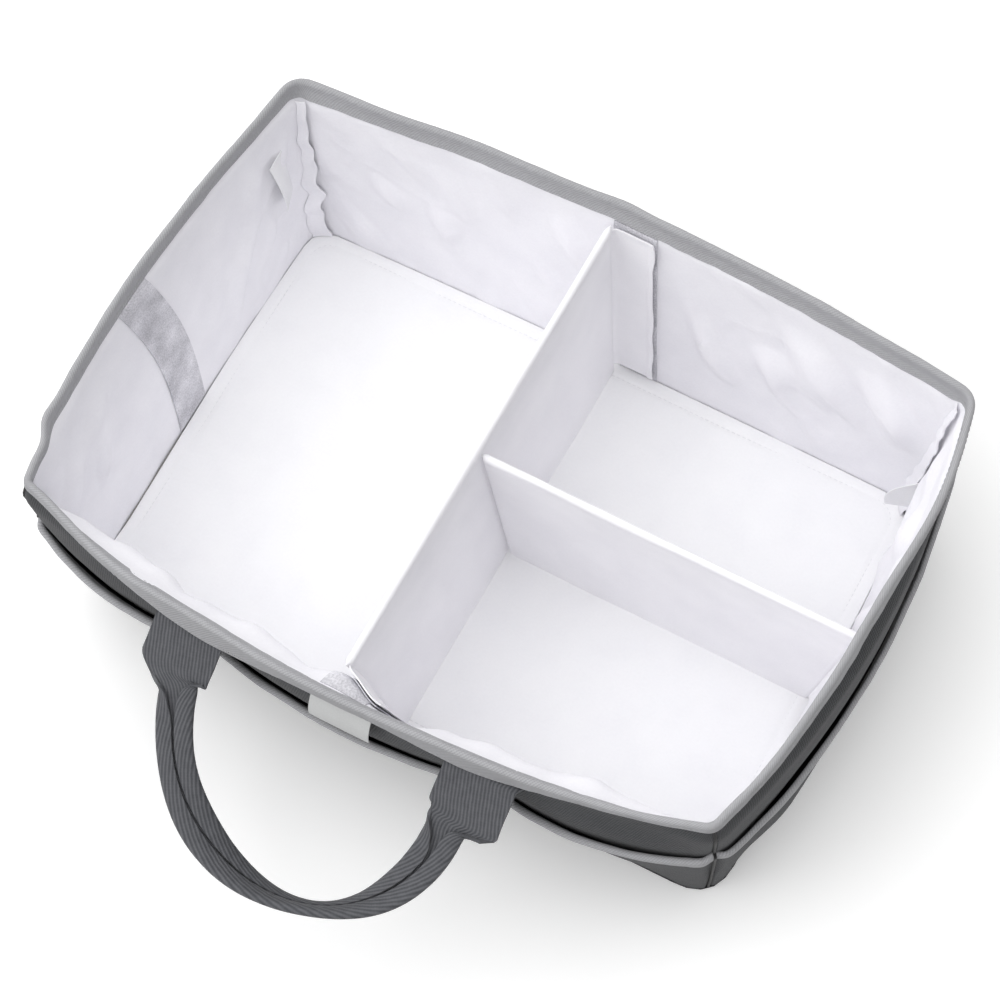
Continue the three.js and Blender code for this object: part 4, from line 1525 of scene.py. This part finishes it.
def route_curve(name, route):
    bpy.ops.object.select_all(action="DESELECT")
    bpy.ops.curve.primitive_nurbs_path_add()
    curve = bpy.context.object
    curve.name = name
    curve.data.splines.clear()
    spline = curve.data.splines.new("POLY")
    spline.points.add(len(route) - 1)
    for point, place in zip(spline.points, route):
        point.co = (*place, 1)
    return curve


def sew(name, route, material, slot, body):
    """A row of stitches: one bar, repeated along the route."""
    path = route_curve(f"{name}_route", route)
    bpy.ops.object.select_all(action="DESELECT")
    bpy.ops.mesh.primitive_uv_sphere_add(segments=6, ring_count=4, radius=0.5)
    stitches = bpy.context.object
    stitches.name = name
    stitches.scale = (THREAD, THREAD, STITCH_LENGTH)
    stitches.rotation_euler = (0, math.pi / 2, 0)
    stitches.location = (STITCH_PITCH / 2, 0, 0)
    bpy.ops.object.transform_apply(location=True, rotation=True, scale=True)
    rows = stitches.modifiers.new("row", "ARRAY")
    rows.fit_type = "FIT_CURVE"
    rows.curve = path
    rows.use_relative_offset = False
    rows.use_constant_offset = True
    rows.constant_offset_displace = (STITCH_PITCH, 0, 0)
    follow = stitches.modifiers.new("route", "CURVE")
    follow.object = path
    bpy.ops.object.modifier_apply(modifier=rows.name)
    bpy.ops.object.modifier_apply(modifier=follow.name)
    bpy.data.objects.remove(path)
    finish(stitches, material, slot)
    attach(stitches, body)


def seam_line(name, route, thickness, material, slot, body):
    """A round line along a route, from a curve with a bevel that is then made a mesh."""
    line = route_curve(name, route)
    line.data.bevel_depth = thickness / 2
    line.data.bevel_resolution = 2
    bpy.ops.object.convert(target="MESH")
    piece = bpy.context.object
    finish(piece, material, slot)
    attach(piece, body)


# %% Stitch routes round the rim
STITCH_INSET = 1.8 * MM
outer_face = RIM_MIDDLE + RIM_RADIUS + TAPE / 2 + 0.1 * MM
inner_face = RIM_MIDDLE - RIM_RADIUS - TAPE / 2 - 0.1 * MM - LINER_TOP


def rim_outer_stitch(share):
    z = RIM_FOLD_Z - rim_leg(share) + STITCH_INSET
    return rim_point(share, z, outer_face + rim_flare(share) * 0.85)


def rim_inner_stitch(share):
    z = RIM_FOLD_Z - rim_inner_leg(share) + STITCH_INSET
    return rim_point(share, z, inner_face + liner_rest(z))


# %% Corner seam lines, painted shade in the seam grooves
SEAM_LINE = 1.6 * MM
SEAM_BOTTOM = 2 * MM
SEAM_TOP = 134 * MM
POCKET_SEAM_RISE = CLOTH * 1.8
WALL_SEAM_RISE = CLOTH * 1.7
TAPE_FACE = CLOTH / 2 + TAPE_LOOSE["front"] + TAPE + 0.2 * MM


def even_steps(start, stop, count):
    return [mix(start, stop, i / count) for i in range(count + 1)]


def corner_seam(index, side):
    """Routes up the pocket, over its tape and then up the wall to the rim."""
    end = station_distance(side, 2)
    lip = pocket_top(side, end)
    sewn = pocket_middle(side, end, lip) - SEAM_PULL
    low = []
    for z in even_steps(SEAM_BOTTOM, lip - POCKET_SHORT_LEG - MM, 20):
        low.append(corner_point(index, 0, z, pocket_middle(side, end, z) + POCKET_SEAM_RISE - SEAM_PULL))
    low.append(corner_point(index, 0, lip - POCKET_SHORT_LEG, sewn + TAPE_FACE))
    for turn in even_steps(0, math.pi * 0.75, 8):
        z = lip + TAPE_FACE * math.sin(turn)
        low.append(corner_point(index, 0, z, sewn + TAPE_FACE * math.cos(turn)))
    wall = even_steps(lip - MM, SEAM_TOP, 12)
    return low, [corner_point(index, 0, z, WALL_SEAM_RISE - SEAM_PULL) for z in wall]


# Each corner seam is a near-black round line: painted shade for the shadow deep in its groove
for index, side in enumerate(SIDES):
    for part, route in zip(("pocket", "wall"), corner_seam(index, side)):
        seam_line(f"{side}_corner_{part}_seam", route, SEAM_LINE, seam_shadow_cord, "shell_cloth", "box")

print("four corner seams")

# %% Rows of stitches
shares = [i / 500 for i in range(501)]
for name, stitch in (("rim_outer_stitches", rim_outer_stitch), ("rim_inner_stitches", rim_inner_stitch)):
    sew(name, [stitch(share) for share in shares], grey_thread, "binding_tape", "box")
border = [pad_point(share, PAD_BORDER) for share in shares]
sew("floor_pad_stitches", border, white_thread, "floor_cloth", "box")
for side, route in grip_routes.items():
    sew(f"{side}_grip_stitches", route, dark_thread, "webbing", f"{side}_handle")
print("rim, floor and grip stitches")

# %% [markdown]
# ## Light, floor and background
# The photograph is lit from the upper left by a large soft light and stands on pure white. The floor is
# white to the camera, and only its shadow shows, so the background comes from the floor's own material
# and not from more light on the caddy. The sky is brightest overhead and dim low on the right, so the
# inside is light, the outer walls stay dark and the shadow falls to the right.

# %% Floor
# The floor's brightness for the light it throws back, and as the camera sees it
PAPER = 0.55
PAPER_SEEN = 1.14
# How much of the floor shines white by itself to the camera, which lifts its shadow a little
WHITE_SHARE = 0.04
bpy.ops.mesh.primitive_plane_add(size=12, location=(0, 0, -0.4 * MM))
floor = bpy.context.object
floor.name = "floor"
paper, tree, shader = new_material("white paper floor")
tree.nodes.remove(shader)


def seen_rays(tree):
    """1 for rays that show the surface to the camera, straight, mirrored or through glass."""
    rays = add_node(tree, "ShaderNodeLightPath").outputs
    straight = add_node(
        tree,
        "ShaderNodeMath",
        settings={"operation": "MAXIMUM"},
        links={0: rays["Is Camera Ray"], 1: rays["Is Glossy Ray"]},
    ).outputs[0]
    return add_node(
        tree,
        "ShaderNodeMath",
        settings={"operation": "MAXIMUM"},
        links={0: straight, 1: rays["Is Transmission Ray"]},
    ).outputs[0]


seen = seen_rays(tree)
brightness = add_node(
    tree, "ShaderNodeMapRange", values={"To Min": PAPER, "To Max": PAPER_SEEN}, links={"Value": seen}
).outputs["Result"]
lit = add_node(tree, "ShaderNodeBsdfDiffuse", links={"Color": brightness}).outputs[0]
share = add_node(
    tree, "ShaderNodeMath", settings={"operation": "MULTIPLY"}, values={1: WHITE_SHARE}, links={0: seen}
).outputs[0]
white = add_node(tree, "ShaderNodeEmission", values={"Strength": 1.0}).outputs[0]
shown = add_node(tree, "ShaderNodeMixShader", links={0: share, 1: lit, 2: white}).outputs[0]
tree.links.new(shown, tree.nodes["Material Output"].inputs["Surface"])
paint(floor, paper)
print("white floor")

# %% World
# The sky's brightness, its share at the horizon, and how much of it is taken away low on the right
AMBIENT = 1.18
HORIZON_LEVEL = 0.68
RIGHT_DIM = 0.88
world = bpy.data.worlds.new("white studio")
world.use_nodes = True
bpy.context.scene.world = world
sky = world.node_tree
way = add_node(sky, "ShaderNodeTexCoord").outputs["Generated"]
axes = add_node(sky, "ShaderNodeSeparateXYZ", links={"Vector": way}).outputs
rightward = add_node(
    sky,
    "ShaderNodeMapRange",
    values={"From Min": 0.0, "From Max": 0.6, "To Max": RIGHT_DIM},
    links={"Value": axes["X"]},
).outputs["Result"]
low = add_node(
    sky,
    "ShaderNodeMapRange",
    values={"From Min": 0.35, "From Max": 0.85, "To Min": 1.0, "To Max": 0.0},
    links={"Value": axes["Z"]},
).outputs["Result"]
dimmed = add_node(
    sky, "ShaderNodeMath", settings={"operation": "MULTIPLY"}, links={0: rightward, 1: low}
).outputs[0]
lit_side = add_node(
    sky, "ShaderNodeMapRange", values={"To Min": AMBIENT, "To Max": 0.0}, links={"Value": dimmed}
).outputs["Result"]
height = add_node(
    sky,
    "ShaderNodeMapRange",
    values={"From Min": 0.0, "From Max": 0.5, "To Min": HORIZON_LEVEL, "To Max": 1.0},
    links={"Value": axes["Z"]},
).outputs["Result"]
level = add_node(
    sky, "ShaderNodeMath", settings={"operation": "MULTIPLY"}, links={0: lit_side, 1: height}
).outputs[0]
background = sky.nodes["Background"]
background.inputs["Color"].default_value = (1, 1, 1, 1)
sky.links.new(level, background.inputs["Strength"])
backdrop = add_node(sky, "ShaderNodeBackground", values={"Strength": 1.0, "Color": (1, 1, 1, 1)}).outputs[0]
shown = add_node(
    sky, "ShaderNodeMixShader", links={0: seen_rays(sky), 1: background.outputs[0], 2: backdrop}
).outputs[0]
sky.links.new(shown, sky.nodes["World Output"].inputs["Surface"])
print("white studio sky")

# %% Lamps
# Watts
KEY = 12
TOP = 3
for name, place, size, power in (("key", (-1.2, -0.7, 2.0), 1.8, KEY), ("top", (0.1, 0.1, 2.2), 1.2, TOP)):
    bpy.ops.object.light_add(type="AREA", location=place)
    lamp = bpy.context.object
    lamp.name = name
    lamp.data.size = size
    lamp.data.energy = power
    lamp.rotation_euler = (-lamp.location).to_track_quat("-Z", "Y").to_euler()
print("two lamps")

# %% Finish
bpy.context.scene.view_settings.view_transform = "Standard"
